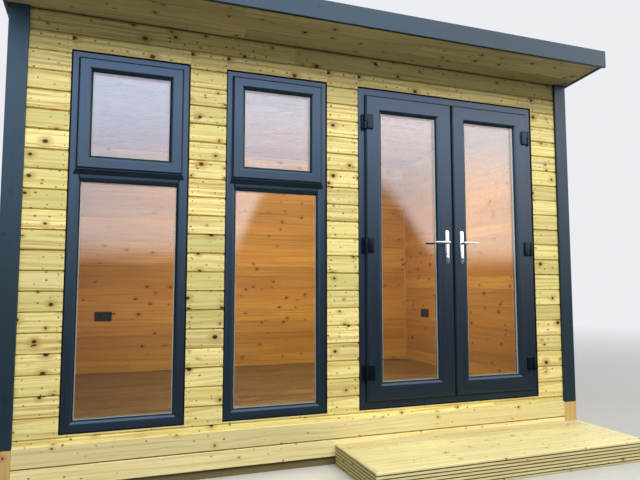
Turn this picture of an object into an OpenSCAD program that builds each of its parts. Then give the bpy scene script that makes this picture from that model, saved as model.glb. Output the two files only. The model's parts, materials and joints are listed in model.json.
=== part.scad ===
// Garden office pod: a timber-framed garden room with a pent roof that rises to the front,
// two tall windows with top-hung vents, a pair of outward-opening French doors and a low step.
// The origin is on the ground at the middle of the cladding's footprint. The front faces -Y.

/* [Body] */
// Width over the side claddings
pod_w = 3720; // [3500:10:4200]
// Depth over the front and back claddings
pod_d = 2400; // [2100:10:3000]
// Thickness of the cladding boards
clad_t = 20; // [14:1:28]
// Thickness of the insulated timber frame
frame_t = 95; // [70:1:145]
// Thickness of the pine lining boards inside
lining_t = 15; // [9:1:20]
// Height of the front cladding above the openings, up to the soffit
head_band_h = 206; // [150:1:400]

/* [Base] */
// Height of the bearers that lie on the ground
bearer_h = 53; // [40:1:75]
// Width of the bearers
bearer_w = 100; // [75:1:150]
// Height of one base board
base_board_h = 105; // [90:1:125]
// Thickness of the base boards
base_board_t = 22; // [18:1:30]
// Open joint between the upper and the lower base board
base_board_gap = 3; // [2:0.5:6]
// How far the base boards stand out from the cladding's face
base_board_out = 14; // [8:1:18]
// Width of a floor joist
joist_w = 47; // [38:1:60]
// Number of floor joists between the corner blocks
joist_count = 9; // [5:1:12]
// Thickness of the floor deck
deck_t = 25; // [18:1:30]
// Thickness of the laminate floor
laminate_t = 12; // [8:1:15]

/* [Corner trims] */
// Width of a corner trim board on the front and back
corner_trim_w = 100; // [80:1:125]
// Thickness of the corner trim boards
corner_trim_t = 20; // [15:1:25]
// How far the corner trims reach below the top of the base
corner_trim_drop = 5; // [0:1:15]

/* [Front openings] */
// Width of one window frame
window_w = 650; // [550:5:720]
// Width of the door frame
door_w = 1400; // [1300:5:1500]
// Height of the window and door frames
opening_h = 2100; // [1990:5:2130]
// Height of the window and door bottoms above the top of the base
sill_h = 47; // [40:1:60]
// How far the frames sit back from the cladding's face
frame_recess = 8; // [0:1:20]
// Depth of the window and door frame profile
upvc_d = 70; // [60:1:80]

/* [Windows] */
// Flat part of the window frame's face
win_flat = 44; // [40:1:50]
// Width of the slope from the flat face down to the glass
win_slope = 20; // [12:1:24]
// Depth of the slope at the glass
win_slope_d = 14; // [10:1:18]
// Height of the fixed light's glass above the frame's bottom edge to its top edge
fixed_light_top = 1364; // [1200:1:1450]
// Height of the transom
transom_h = 92; // [84:1:110]
// Frame left showing round the vent sash
vent_reveal = 38; // [34:1:42]
// Width of the vent sash's face, from its edge to the glass
vent_face = 74; // [68:1:84]
// How far the vent sash stands out from the frame
vent_out = 20; // [14:1:24]

/* [Doors] */
// Frame left showing round the door leaves
leaf_reveal = 52; // [48:1:56]
// Gap between the two leaves
meeting_gap = 8; // [7:0.5:10]
// How far the leaves' meeting line lies to the right of the door's middle
meeting_shift = 10; // [0:1:14]
// Running gap between a leaf and the frame
leaf_gap = 5; // [5:0.5:7]
// Thickness of a leaf's outer flange
flange_t = 17; // [14:1:20]
// How far the flange reaches over the leaf's inner body
flange_over = 22; // [20:1:26]
// Thickness of a leaf's inner body
leaf_body_t = 50; // [44:1:54]
// How far the frame's stop reaches in behind the leaf
stop_over = 15; // [10:1:20]
// Width of a leaf's face, from its edge to the glass
leaf_face = 113; // [106:1:120]
// Width of the slope from a leaf's flat face down to the glass
leaf_slope = 18; // [12:1:22]
// Depth of that slope at the glass
leaf_slope_d = 17; // [14:1:19]
// Bevel along the outer front edges of a leaf and a vent sash
edge_bevel = 10; // [4:1:12]

/* [Glass] */
// Thickness of a double-glazed unit
glass_t = 24; // [20:1:28]
// How far a glass unit is held in its frame
glass_bite = 12; // [8:1:15]
// Clearance round a glass unit's edge in its groove
glass_edge_gap = 3; // [2:0.5:5]

/* [Hinges] */
// Height of a flag hinge
hinge_h = 100; // [80:1:120]
// Distance from the door's top and bottom to the middle of the outer hinges
hinge_end = 235; // [200:1:300]
// Radius of the hinge barrel
barrel_r = 8.5; // [7:0.5:9.5]
// Radius of the hinge pin
pin_r = 4; // [3:0.5:5]
// Radial clearance between the hinge pin and its bore
pin_fit = 0.05; // [0.03:0.01:0.08]
// Distance of the hinge axis in front of the leaf's face
hinge_out = 6; // [5:0.5:7]
// Distance of the hinge axis from the leaf's edge
hinge_side = 5; // [5:0.5:7]
// Gap between the barrel and the flag beside it
flag_gap = 3.5; // [3:0.5:5]
// Width of the hinge flag on the leaf's face
flag_w = 46; // [40:1:55]
// Thickness of the hinge flag
flag_t = 4; // [3:0.5:5]
// Width of the hinge block on the frame's face
block_w = 20; // [18:1:22]
// Gap between the two halves of the barrel
knuckle_gap = 0.5; // [0.3:0.1:1]

/* [Handles] */
// Height of a handle's backplate
plate_h = 226; // [215:1:250]
// Width of a handle's backplate
plate_w = 28; // [26:1:32]
// Thickness of a handle's backplate
plate_t = 10; // [8:1:13]
// Height of the lever's axis above the door frame's bottom
lever_z = 1079; // [1000:1:1150]
// Distance from the lever's axis down to the middle of the lock cylinder
lever_to_lock = 92; // [85:1:92]
// Distance of the lever's axis above the backplate's middle
lever_above_mid = 29; // [25:1:36]
// Distance of the lever's axis from the leaf's meeting edge
lever_inset = 54; // [48:1:60]
// Length of the lever from its axis to its tip
lever_l = 112; // [100:1:130]
// Distance of the lever's middle plane from the leaf's face
lever_out = 46; // [40:1:52]
// Radius of the lever's neck
neck_r = 9; // [8:0.5:10]
// Radius of the spindle
spindle_r = 4.5; // [4:0.5:5.5]
// Radial clearance between the spindle and the backplates
spindle_fit = 0.08; // [0.05:0.01:0.1]
// Radial clearance between the spindle and the leaf
spindle_gap = 3; // [2:0.5:5]

/* [Roof] */
// Fall of the roof from front to back, in degrees
roof_slope = 5; // [3:0.5:7]
// Reach of the roof in front of the front cladding
roof_front = 365; // [250:5:480]
// Reach of the roof behind the back cladding
roof_back = 60; // [45:1:120]
// Distance of the bargeboard's inner face from the side cladding
roof_side = 30; // [24:1:60]
// Thickness of the soffit and ceiling boards
soffit_t = 12; // [9:1:18]
// Depth of the roof joists
roof_joist_h = 72; // [60:1:95]
// Number of roof joists
roof_joist_count = 8; // [5:1:10]
// Thickness of the roof deck
roof_deck_t = 18; // [15:1:22]
// Thickness of the rubber membrane
membrane_t = 3; // [2:0.5:4]
// Thickness of the fascia and bargeboards
fascia_t = 20; // [18:1:25]
// How far the fascia hangs below the soffit
fascia_drop = 7; // [4:1:15]
// How far the fascia stands above the membrane
fascia_rise = 4; // [3:1:15]
// How far the front fascia reaches past the bargeboards
fascia_past = 15; // [0:1:30]

/* [Step] */
// Width of the step
step_w = 1885; // [1500:5:2200]
// Depth of the step's top from its back edge to its front edge
step_d = 580; // [400:5:700]
// Height of the step's top above the ground
step_h = 125; // [115:1:150]
// Thickness of the step's top boards
step_board_t = 28; // [20:1:32]
// Number of top boards
step_board_count = 4; // [3:1:5]
// Gap between the top boards
step_board_gap = 5; // [3:0.5:8]
// Thickness of the grooved facing boards
facing_t = 27; // [20:1:32]
// Number of grooves on a facing board
groove_count = 6; // [4:1:9]
// Width of a groove
groove_w = 6; // [4:0.5:8]
// Depth of a groove
groove_d = 3; // [2:0.5:5]
// Width of a step bearer
step_bearer_w = 45; // [38:1:60]
// Number of step bearers
step_bearer_count = 5; // [3:1:7]

/* [Sockets] */
// Width of a double socket's plate
socket_w = 147; // [140:1:150]
// Height of a double socket's plate
socket_h = 86; // [80:1:90]
// Thickness of a socket's plate
socket_t = 9; // [6:1:12]
// Height of the sockets' middle above the laminate floor
socket_z = 515; // [300:5:1200]
// Distance of the back wall's socket from the left wall
socket_back_x = 330; // [200:5:3000]
// Distance of the right wall's socket from the back wall
socket_right_y = 420; // [200:5:1700]

/* [Hidden] */

timber = "#e3d391";
dark_paint = "#3c4a5a";
upvc = "#45525f";
pine = "#c98f4e";

// Small distance by which a cut runs past the face that it opens
cut = 1;
// Clearance under a piece that lies on a sloping face
seat_gap = 0.1;

// Places across the front, worked out from the equal piers between trims, windows and door
half_w = pod_w / 2;
half_d = pod_d / 2;
front_y = -half_d;
trim_outer_x = half_w + corner_trim_t;
trim_inner_x = trim_outer_x - corner_trim_w;
pier_w = (2 * trim_inner_x - 2 * window_w - door_w) / 4;
window_1_x = -trim_inner_x + pier_w;
window_2_x = window_1_x + window_w + pier_w;
window_xs = [window_1_x, window_2_x];
door_x = window_2_x + window_w + pier_w;
door_end_x = door_x + door_w;

// Heights
base_h = bearer_h + 2 * base_board_h;
sill_z = base_h + sill_h;
head_z = sill_z + opening_h;
floor_z = base_h + deck_t + laminate_t;
soffit_z = head_z + head_band_h;

// Faces of the wall layers
frame_out_x = half_w - clad_t;
frame_in_x = frame_out_x - frame_t;
room_x = frame_in_x - lining_t;
frame_out_y = half_d - clad_t;
frame_in_y = frame_out_y - frame_t;
room_y = frame_in_y - lining_t;

// Front frames and leaves, in depth
face_y = front_y + frame_recess;
flange_back_y = face_y - leaf_gap;
leaf_front_y = flange_back_y - flange_t;
leaf_back_y = flange_back_y + leaf_body_t;
stop_y = leaf_back_y + leaf_gap;

// Door leaves; leaf_w is their mean width
leaf_w = (door_w - 2 * leaf_reveal - meeting_gap) / 2;
leaf_z = sill_z + leaf_reveal;
leaf_h = opening_h - 2 * leaf_reveal;
rebate_w = leaf_reveal + flange_over - leaf_gap;
stop_w = rebate_w + stop_over;

// Roof
roof_front_y = front_y - roof_front;
roof_back_y = half_d + roof_back;
barge_in_x = half_w + roof_side;
barge_out_x = barge_in_x + fascia_t;
deck_v = soffit_t + roof_joist_h;
membrane_v = deck_v + roof_deck_t;
membrane_top_v = membrane_v + membrane_t;

// Height of a plane of the roof at a place in depth; v is measured square to the slope
function roof_z(y, v) = soffit_z - tan(roof_slope) * (y - front_y) + v / cos(roof_slope);
// Height of a sloping top face that carries what lies on the plane v
function seat_z(y, v) = roof_z(y, v - seat_gap);
// Outline of a sloping layer with plumb ends
function slope_outline(y0, y1, v0, v1) = [
    [y0, roof_z(y0, v0)], [y1, roof_z(y1, v0)], [y1, seat_z(y1, v1)], [y0, seat_z(y0, v1)]
];
// Outline of a wall that stands on a level base and meets a plane of the roof
function wall_outline(y0, y1, z0, v) = [[y0, z0], [y1, z0], [y1, seat_z(y1, v)], [y0, seat_z(y0, v)]];

// A box between two corners
module span(a, b) {
    translate(a) cube([b[0] - a[0], b[1] - a[1], b[2] - a[2]]);
}

// An outline in the YZ plane, drawn out along X
module along_x(x0, x1, outline) {
    translate([x0, 0, 0]) rotate([90, 0, 90]) linear_extrude(x1 - x0) polygon(outline);
}

// Both sides of the pod
module both_sides() {
    children();
    mirror([1, 0, 0]) children();
}

// Front and back of the pod
module both_ends() {
    children();
    mirror([0, 1, 0]) children();
}

// Base
corner_block_in_x = trim_inner_x;
corner_block_in_y = half_d + corner_trim_t - corner_trim_w;
corner_block_h = base_h - corner_trim_drop;
block_out_y = half_d + corner_trim_t;
base_face_y = half_d + base_board_out;
base_back_y = base_face_y - base_board_t;
base_face_x = half_w + base_board_out;
base_back_x = base_face_x - base_board_t;

module base_bearers() {
    color(timber) {
        both_ends() span([-corner_block_in_x, base_back_y - bearer_w, 0], [corner_block_in_x, base_back_y, bearer_h]);
        span([-base_back_x, -bearer_w / 2, 0], [base_back_x, bearer_w / 2, bearer_h]);
    }
}

module floor_joists() {
    pitch = (2 * corner_block_in_x - joist_w) / (joist_count - 1);
    color(timber) {
        for (i = [0 : joist_count - 1])
            translate([-corner_block_in_x + i * pitch, 0, 0])
                span([0, -base_back_y, bearer_h], [joist_w, base_back_y, base_h]);
        both_sides()
            span([base_back_x - joist_w, -corner_block_in_y, bearer_h], [base_back_x, corner_block_in_y, base_h]);
    }
}

// Lower and upper base board of one side, as heights
base_board_zs = [
    [bearer_h, bearer_h + base_board_h - base_board_gap],
    [bearer_h + base_board_h, base_h]
];

module base_boards_long() {
    color(timber) both_ends() for (z = base_board_zs)
        span([-corner_block_in_x, base_back_y, z[0]], [corner_block_in_x, base_face_y, z[1]]);
}

module base_boards_short() {
    color(timber) both_sides() for (z = base_board_zs)
        span([base_back_x, -corner_block_in_y, z[0]], [base_face_x, corner_block_in_y, z[1]]);
}

module corner_blocks() {
    color(timber) both_sides() both_ends()
        span([corner_block_in_x, corner_block_in_y, 0], [trim_outer_x, block_out_y, corner_block_h]);
}

module floor_deck() {
    color("burlywood") span([-frame_in_x, -frame_in_y, base_h], [frame_in_x, frame_in_y, base_h + deck_t]);
}

module laminate_floor() {
    color("#8d7a63") span([-frame_in_x, -frame_in_y, base_h + deck_t], [frame_in_x, frame_in_y, floor_z]);
}

// Front wall: piers between the openings, rails under and over them
// Left and right ends of the piers, between the wall's end at x = end and the openings
function pier_spans(end) = [
    [-end, window_1_x],
    [window_1_x + window_w, window_2_x],
    [window_2_x + window_w, door_x],
    [door_end_x, end]
];

module front_piers(end, y0, y1, z0) {
    for (p = pier_spans(end)) span([p[0], y0, z0], [p[1], y1, head_z]);
}

module front_wall_piers() {
    color("tan") front_piers(frame_out_x, -frame_out_y, -frame_in_y, sill_z);
}

module front_wall_rails() {
    color("tan") {
        span([-frame_out_x, -frame_out_y, base_h], [frame_out_x, -frame_in_y, sill_z]);
        along_x(-frame_out_x, frame_out_x, wall_outline(-frame_out_y, -frame_in_y, head_z, soffit_t));
    }
}

module front_cladding_panels() {
    color(timber) front_piers(frame_out_x, front_y, -frame_out_y, sill_z);
}

module front_cladding_bands() {
    color(timber) {
        span([-frame_out_x, front_y, base_h], [frame_out_x, -frame_out_y, sill_z]);
        along_x(-frame_out_x, frame_out_x, wall_outline(front_y, -frame_out_y, head_z, soffit_t));
    }
}

module front_lining_panels() {
    color(pine) front_piers(frame_in_x, -frame_in_y, -room_y, floor_z);
}

module front_lining_top() {
    color(pine) along_x(-frame_in_x, frame_in_x, wall_outline(-frame_in_y, -room_y, head_z, 0));
}

// Side and back walls
module left_wall() {
    color("tan") along_x(-frame_out_x, -frame_in_x, wall_outline(-frame_in_y, frame_in_y, base_h, soffit_t));
}

module right_wall() {
    color("tan") along_x(frame_in_x, frame_out_x, wall_outline(-frame_in_y, frame_in_y, base_h, soffit_t));
}

module back_wall() {
    color("tan") along_x(-frame_out_x, frame_out_x, wall_outline(frame_in_y, frame_out_y, base_h, soffit_t));
}

module side_cladding() {
    color(timber) both_sides() along_x(frame_out_x, half_w, wall_outline(front_y, half_d, base_h, soffit_t));
}

module back_cladding() {
    color(timber) along_x(-frame_out_x, frame_out_x, wall_outline(frame_out_y, half_d, base_h, soffit_t));
}

module side_lining() {
    color(pine) both_sides() along_x(room_x, frame_in_x, wall_outline(-room_y, room_y, floor_z, 0));
}

module back_lining() {
    color(pine) along_x(-frame_in_x, frame_in_x, wall_outline(room_y, frame_in_y, floor_z, 0));
}

// Corner trims: a wide board on the front and back, a narrower one behind its edge on the side
module corner_trims_face() {
    color(dark_paint) both_sides() {
        along_x(trim_inner_x, trim_outer_x,
            wall_outline(front_y - corner_trim_t, front_y, corner_block_h, 0));
        along_x(trim_inner_x, trim_outer_x,
            wall_outline(half_d, half_d + corner_trim_t, corner_block_h, soffit_t));
    }
}

module corner_trims_side() {
    side_board_w = corner_trim_w - corner_trim_t;
    color(dark_paint) both_sides() {
        along_x(half_w, trim_outer_x, wall_outline(front_y, front_y + side_board_w, corner_block_h, soffit_t));
        along_x(half_w, trim_outer_x, wall_outline(half_d - side_board_w, half_d, corner_block_h, soffit_t));
    }
}

// Roof
joist_front_y = roof_front_y + fascia_t;
joist_back_y = roof_back_y - fascia_t;

module roof_joists() {
    pitch = (2 * barge_in_x - joist_w) / (roof_joist_count - 1);
    color("tan") for (i = [0 : roof_joist_count - 1]) {
        x = -barge_in_x + i * pitch;
        along_x(x, x + joist_w, slope_outline(joist_front_y, joist_back_y, soffit_t, deck_v));
    }
}

module roof_deck() {
    color("burlywood")
        along_x(-barge_in_x, barge_in_x, slope_outline(joist_front_y, joist_back_y, deck_v, membrane_v));
}

module roof_membrane() {
    color("#2b2c2e")
        along_x(-barge_in_x, barge_in_x, slope_outline(joist_front_y, joist_back_y, membrane_v, membrane_top_v));
}

module ceiling_lining() {
    color(pine) along_x(-frame_in_x, frame_in_x, slope_outline(-frame_in_y, frame_in_y, 0, soffit_t));
}

module front_soffit() {
    color(timber) along_x(-barge_in_x, barge_in_x, slope_outline(joist_front_y, front_y, 0, soffit_t));
}

// A plumb fascia board between two places in depth, and its reach to the sides
module fascia(y0, y1, end) {
    low = roof_z(y1, -fascia_drop);
    high = roof_z(y0, membrane_top_v + fascia_rise);
    span([-end, y0, low], [end, y1, high]);
}

module fascias() {
    color(dark_paint) {
        fascia(roof_front_y, joist_front_y, barge_out_x + fascia_past);
        fascia(joist_back_y, roof_back_y, barge_out_x);
    }
}

module bargeboards() {
    color(dark_paint) both_sides() along_x(barge_in_x, barge_out_x,
        slope_outline(joist_front_y, joist_back_y, -fascia_drop, membrane_top_v + fascia_rise));
}

// Profiles of the frames
// Bevel along the front edges of a window or door frame
frame_bevel = 2;

// A slab in the XZ plane with its front face at y = 0 and bevels along its front edges
module bevelled_slab(w, h, t, bevel) {
    intersection() {
        linear_extrude(h) polygon([[0, t], [0, bevel], [bevel, 0], [w - bevel, 0], [w, bevel], [w, t]]);
        along_x(0, w, [[t, 0], [bevel, 0], [0, bevel], [0, h - bevel], [bevel, h], [t, h]]);
    }
}

// The space in front of a pane: its sides slope out to the front face at y = 0
module sloped_space(w, h, slope_w, slope_depth) {
    reach = slope_w * (1 + cut / slope_depth);
    intersection() {
        translate([0, 0, -reach]) linear_extrude(h + 2 * reach)
            polygon([[0, slope_depth], [-reach, -cut], [w + reach, -cut], [w, slope_depth]]);
        along_x(-reach, w + reach, [[slope_depth, 0], [-cut, -reach], [-cut, h + reach], [slope_depth, h]]);
    }
}

// Everything that is cut from a profile round one pane of glass, whose visible size is w by h
module pane_cut(w, h, slope_w, slope_depth, depth) {
    sloped_space(w, h, slope_w, slope_depth);
    translate([0, slope_depth - cut, 0]) cube([w, depth + cut, h]);
    pane(w, h, slope_depth, 0);
}

// A glass unit behind a visible opening of w by h
module pane(w, h, y, gap) {
    reach = glass_bite - gap;
    translate([-reach, y, -reach]) cube([w + 2 * reach, glass_t, h + 2 * reach]);
}

// Windows
win_face = win_flat + win_slope;
fixed_light_w = window_w - 2 * win_face;
fixed_light_h = fixed_light_top - win_face;
vent_z = fixed_light_top + transom_h;
vent_space_w = window_w - 2 * win_face;
vent_space_h = opening_h - win_face - vent_z;
sash_w = window_w - 2 * vent_reveal;
sash_body_over = win_face - vent_reveal + glass_edge_gap;
sash_z = vent_z + glass_edge_gap - sash_body_over;
sash_h = opening_h - vent_reveal - sash_z;
sash_light_w = sash_w - 2 * vent_face;
sash_light_h = sash_h - 2 * vent_face;
sash_body_t = 46;

module at_windows() {
    for (x = window_xs) translate([x, face_y, sill_z]) children();
}

module window_frames() {
    color(upvc) at_windows() difference() {
        bevelled_slab(window_w, opening_h, upvc_d, frame_bevel);
        translate([win_face, 0, win_face])
            pane_cut(fixed_light_w, fixed_light_h, win_slope, win_slope_d, upvc_d);
        translate([win_face, -cut, vent_z]) cube([vent_space_w, upvc_d + 2 * cut, vent_space_h]);
    }
}

module vent_sashes() {
    color(upvc) at_windows() translate([vent_reveal, -vent_out, sash_z]) difference() {
        union() {
            bevelled_slab(sash_w, sash_h, vent_out, edge_bevel);
            translate([sash_body_over, vent_out - cut, sash_body_over])
                cube([sash_w - 2 * sash_body_over, sash_body_t + cut, sash_h - 2 * sash_body_over]);
        }
        translate([vent_face, 0, vent_face])
            pane_cut(sash_light_w, sash_light_h, leaf_slope, leaf_slope_d, vent_out + sash_body_t);
    }
}

module window_glass() {
    color("lightblue", 0.35) at_windows() {
        translate([win_face, 0, win_face]) pane(fixed_light_w, fixed_light_h, win_slope_d, glass_edge_gap);
        translate([vent_reveal + vent_face, -vent_out, sash_z + vent_face])
            pane(sash_light_w, sash_light_h, leaf_slope_d, glass_edge_gap);
    }
}

// Doors. Each leaf is drawn from its hinge edge at x = 0 and put in place by its side.
module at_left_leaf() {
    translate([door_x + leaf_reveal, leaf_front_y, leaf_z]) children();
}

module at_right_leaf() {
    translate([door_end_x - leaf_reveal, leaf_front_y, leaf_z]) mirror([1, 0, 0]) children();
}

// What is fitted to a leaf's meeting stile follows the meeting line
module at_left_stile() {
    at_left_leaf() translate([meeting_shift, 0, 0]) children();
}

module at_right_stile() {
    at_right_leaf() translate([-meeting_shift, 0, 0]) children();
}

leaf_t = flange_t + leaf_body_t;
leaf_light_w = leaf_w - 2 * leaf_face;
leaf_light_h = leaf_h - 2 * leaf_face;
lever_x = leaf_w - lever_inset;
lever_leaf_z = lever_z - leaf_reveal;
lock_leaf_z = lever_leaf_z - lever_to_lock;
plate_mid_z = lever_leaf_z - lever_above_mid;

module door_frame() {
    color(upvc) translate([door_x, face_y, sill_z]) difference() {
        bevelled_slab(door_w, opening_h, upvc_d, frame_bevel);
        translate([rebate_w, -cut, rebate_w])
            cube([door_w - 2 * rebate_w, stop_y - face_y + cut, opening_h - 2 * rebate_w]);
        translate([stop_w, -cut, stop_w])
            cube([door_w - 2 * stop_w, upvc_d + 2 * cut, opening_h - 2 * stop_w]);
    }
}

// Outline of a lock cylinder: a round barrel with a narrow tail below it
lock_r = 8.5;
lock_tail_w = 10;
lock_tail_h = 24;

module lock_outline() {
    circle(lock_r, $fn = 48);
    translate([-lock_tail_w / 2, -lock_tail_h]) square([lock_tail_w, lock_tail_h]);
}

// Something drawn in outline in the XZ plane of a leaf, drawn out from y0 to y1
module through_leaf(y0, y1) {
    translate([0, y1, 0]) rotate([90, 0, 0]) linear_extrude(y1 - y0) children();
}

// A leaf that is wider than the mean by a shift, all of it in the meeting stile
module door_leaf(shift) {
    w = leaf_w + shift;
    difference() {
        union() {
            bevelled_slab(w, leaf_h, flange_t, edge_bevel);
            translate([flange_over, flange_t - cut, flange_over])
                cube([w - 2 * flange_over, leaf_body_t + cut, leaf_h - 2 * flange_over]);
        }
        translate([leaf_face, 0, leaf_face])
            pane_cut(leaf_light_w, leaf_light_h, leaf_slope, leaf_slope_d, leaf_t);
        through_leaf(-cut, leaf_t + cut) translate([lever_x + shift, lever_leaf_z])
            circle(spindle_r + spindle_gap, $fn = 48);
        through_leaf(-cut, leaf_t + cut) translate([lever_x + shift, lock_leaf_z]) lock_outline();
    }
}

module left_leaf() {
    color(upvc) at_left_leaf() door_leaf(meeting_shift);
}

module right_leaf() {
    color(upvc) at_right_leaf() door_leaf(-meeting_shift);
}

module leaf_pane() {
    translate([leaf_face, 0, leaf_face]) pane(leaf_light_w, leaf_light_h, leaf_slope_d, glass_edge_gap);
}

module left_door_glass() {
    color("lightblue", 0.35) at_left_leaf() leaf_pane();
}

module right_door_glass() {
    color("lightblue", 0.35) at_right_leaf() leaf_pane();
}

// Flag hinges, drawn round their axis with the leaf towards +X and the outside towards -Y
hinge_zs = [hinge_end, opening_h / 2, opening_h - hinge_end];
knuckle_h = (hinge_h - knuckle_gap) / 2;
// Distance from the axis back to the leaf's face and to the frame's face
axis_to_leaf = hinge_out;
axis_to_frame = hinge_out + leaf_gap + flange_t;
// Room left round the moving half of the barrel
knuckle_room = 2;

module at_hinges() {
    for (z = hinge_zs)
        translate([-hinge_side, -hinge_out, z - leaf_reveal - hinge_h / 2]) children();
}

// The half on the frame: a block, the lower half of the barrel and the pin
module hinge_block() {
    block_front = barrel_r + knuckle_room;
    union() {
        translate([-block_w, block_front, 0]) cube([block_w, axis_to_frame - block_front, hinge_h]);
        translate([-barrel_r, 0, 0]) cube([barrel_r, block_front + cut, knuckle_h]);
        cylinder(h = knuckle_h, r = barrel_r, $fn = 64);
        cylinder(h = hinge_h - pin_r, r = pin_r, $fn = 48);
    }
}

// The half on the leaf: the upper half of the barrel with its bore, and a flag on the leaf's face
module hinge_flag() {
    flag_x = barrel_r + flag_gap;
    difference() {
        union() {
            translate([flag_x, axis_to_leaf - flag_t, 0]) cube([flag_w, flag_t, hinge_h]);
            translate([0, axis_to_leaf - flag_t, knuckle_h + knuckle_gap]) cube([flag_x + cut, flag_t, knuckle_h]);
            translate([0, 0, knuckle_h + knuckle_gap]) cylinder(h = knuckle_h, r = barrel_r, $fn = 64);
        }
        translate([0, 0, -cut]) cylinder(h = hinge_h + 2 * cut, r = pin_r + pin_fit, $fn = 48);
    }
}

module left_hinge_blocks() {
    color(upvc) at_left_leaf() at_hinges() hinge_block();
}

module right_hinge_blocks() {
    color(upvc) at_right_leaf() at_hinges() hinge_block();
}

module left_hinge_flags() {
    color(upvc) at_left_leaf() at_hinges() hinge_flag();
}

module right_hinge_flags() {
    color(upvc) at_right_leaf() at_hinges() hinge_flag();
}

// Handles
// Outline of a backplate with round ends, about its lever's axis
module plate_outline() {
    end_r = plate_w / 2;
    translate([0, -lever_above_mid]) hull() {
        translate([0, plate_h / 2 - end_r]) circle(end_r, $fn = 32);
        translate([0, end_r - plate_h / 2]) circle(end_r, $fn = 32);
    }
}

// One backplate with the end of the lock cylinder, from y0 to y1, and the cylinder's face at lock_y
module handle_plate(y0, y1) {
    translate([lever_x, 0, lever_leaf_z]) difference() {
        through_leaf(y0, y1) plate_outline();
        through_leaf(y0 - cut, y1 + cut) circle(spindle_r + spindle_fit, $fn = 48);
        through_leaf(y0 - cut, y1 + cut) translate([0, -lever_to_lock]) lock_outline();
    }
}

// The lock cylinder stands a little proud of both backplates
lock_proud = 3;

module handle_plates() {
    handle_plate(-plate_t, 0);
    handle_plate(leaf_t, leaf_t + plate_t);
    translate([lever_x, 0, lock_leaf_z])
        through_leaf(-plate_t - lock_proud, leaf_t + plate_t + lock_proud) lock_outline();
}

module left_handle_plates() {
    color("silver") at_left_stile() handle_plates();
}

module right_handle_plates() {
    color("silver") at_right_stile() handle_plates();
}

// A lever arm that tapers away from the meeting edge, about its own axis at y = 0
arm_root_r = 8;
arm_tip_r = 6.5;

module lever_arm() {
    arm_l = lever_l - arm_tip_r;
    sphere(arm_root_r, $fn = 48);
    rotate([0, -90, 0]) cylinder(h = arm_l, r1 = arm_root_r, r2 = arm_tip_r, $fn = 48);
    translate([-arm_l, 0, 0]) sphere(arm_tip_r, $fn = 48);
}

module lever() {
    inner_y = leaf_t + lever_out;
    translate([lever_x, 0, lever_leaf_z]) {
        through_leaf(-lever_out, inner_y) circle(spindle_r, $fn = 48);
        through_leaf(-lever_out, -plate_t - lock_proud) circle(neck_r, $fn = 48);
        through_leaf(leaf_t + plate_t + lock_proud, inner_y) circle(neck_r, $fn = 48);
        translate([0, -lever_out, 0]) lever_arm();
        translate([0, inner_y, 0]) lever_arm();
    }
}

module left_lever() {
    color("silver") at_left_stile() lever();
}

module right_lever() {
    color("silver") at_right_stile() lever();
}

// Sockets on the back wall and the right wall
module wall_sockets() {
    low = floor_z + socket_z - socket_h / 2;
    back_x = -room_x + socket_back_x;
    right_y = room_y - socket_right_y;
    color("#222222") {
        span([back_x - socket_w / 2, room_y - socket_t, low], [back_x + socket_w / 2, room_y, low + socket_h]);
        span([room_x - socket_t, right_y - socket_w / 2, low], [room_x, right_y + socket_w / 2, low + socket_h]);
    }
}

// Step: its right end lines up with the right corner trim, and it stands against the corner block
step_right_x = trim_outer_x;
step_left_x = step_right_x - step_w;
step_back_y = -block_out_y;
step_front_y = step_back_y - step_d;
step_frame_h = step_h - step_board_t;
step_board_w = (step_d - (step_board_count - 1) * step_board_gap) / step_board_count;
// Open mitre between the facing boards
facing_gap = 2;

module step_bearers() {
    inner_left = step_left_x + facing_t;
    inner_right = step_right_x - facing_t;
    pitch = (inner_right - inner_left - step_bearer_w) / (step_bearer_count - 1);
    color(timber) for (i = [0 : step_bearer_count - 1])
        translate([inner_left + i * pitch, 0, 0])
            span([0, step_front_y + facing_t, 0], [step_bearer_w, step_back_y, step_frame_h]);
}

module step_top_boards() {
    color(timber) for (i = [0 : step_board_count - 1])
        translate([0, step_front_y + i * (step_board_w + step_board_gap), 0])
            span([step_left_x, 0, step_frame_h], [step_right_x, step_board_w, step_h]);
}

// Outline of a grooved facing board: its grooved face towards -Y, its foot at z = 0
module facing_outline() {
    pitch = step_frame_h / groove_count;
    difference() {
        square([facing_t, step_frame_h]);
        for (i = [0 : groove_count - 1])
            translate([-cut, (i + 0.5) * pitch - groove_w / 2]) square([groove_d + cut, groove_w]);
    }
}

// A facing board along X with its right end square and its left end as given
module facing_board(length) {
    rotate([90, 0, 90]) linear_extrude(length) facing_outline();
}

module step_facing_boards() {
    side_l = step_d - facing_t - facing_gap;
    color(timber) {
        translate([step_left_x, step_front_y, 0]) facing_board(step_w);
        translate([step_left_x, step_back_y, 0]) rotate([0, 0, -90]) facing_board(side_l);
        translate([step_right_x, step_back_y - side_l, 0]) rotate([0, 0, 90]) facing_board(side_l);
    }
}

base_bearers();
floor_joists();
base_boards_long();
base_boards_short();
corner_blocks();
floor_deck();
laminate_floor();
front_wall_piers();
front_wall_rails();
front_cladding_panels();
front_cladding_bands();
front_lining_panels();
front_lining_top();
left_wall();
right_wall();
back_wall();
side_cladding();
back_cladding();
side_lining();
back_lining();
corner_trims_face();
corner_trims_side();
roof_joists();
roof_deck();
roof_membrane();
ceiling_lining();
front_soffit();
fascias();
bargeboards();
window_frames();
vent_sashes();
window_glass();
door_frame();
left_leaf();
right_leaf();
left_door_glass();
right_door_glass();
left_hinge_blocks();
right_hinge_blocks();
left_hinge_flags();
right_hinge_flags();
left_handle_plates();
right_handle_plates();
left_lever();
right_lever();
wall_sockets();
step_bearers();
step_top_boards();
step_facing_boards();
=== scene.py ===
import json
import math
import random
from functools import partial

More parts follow.
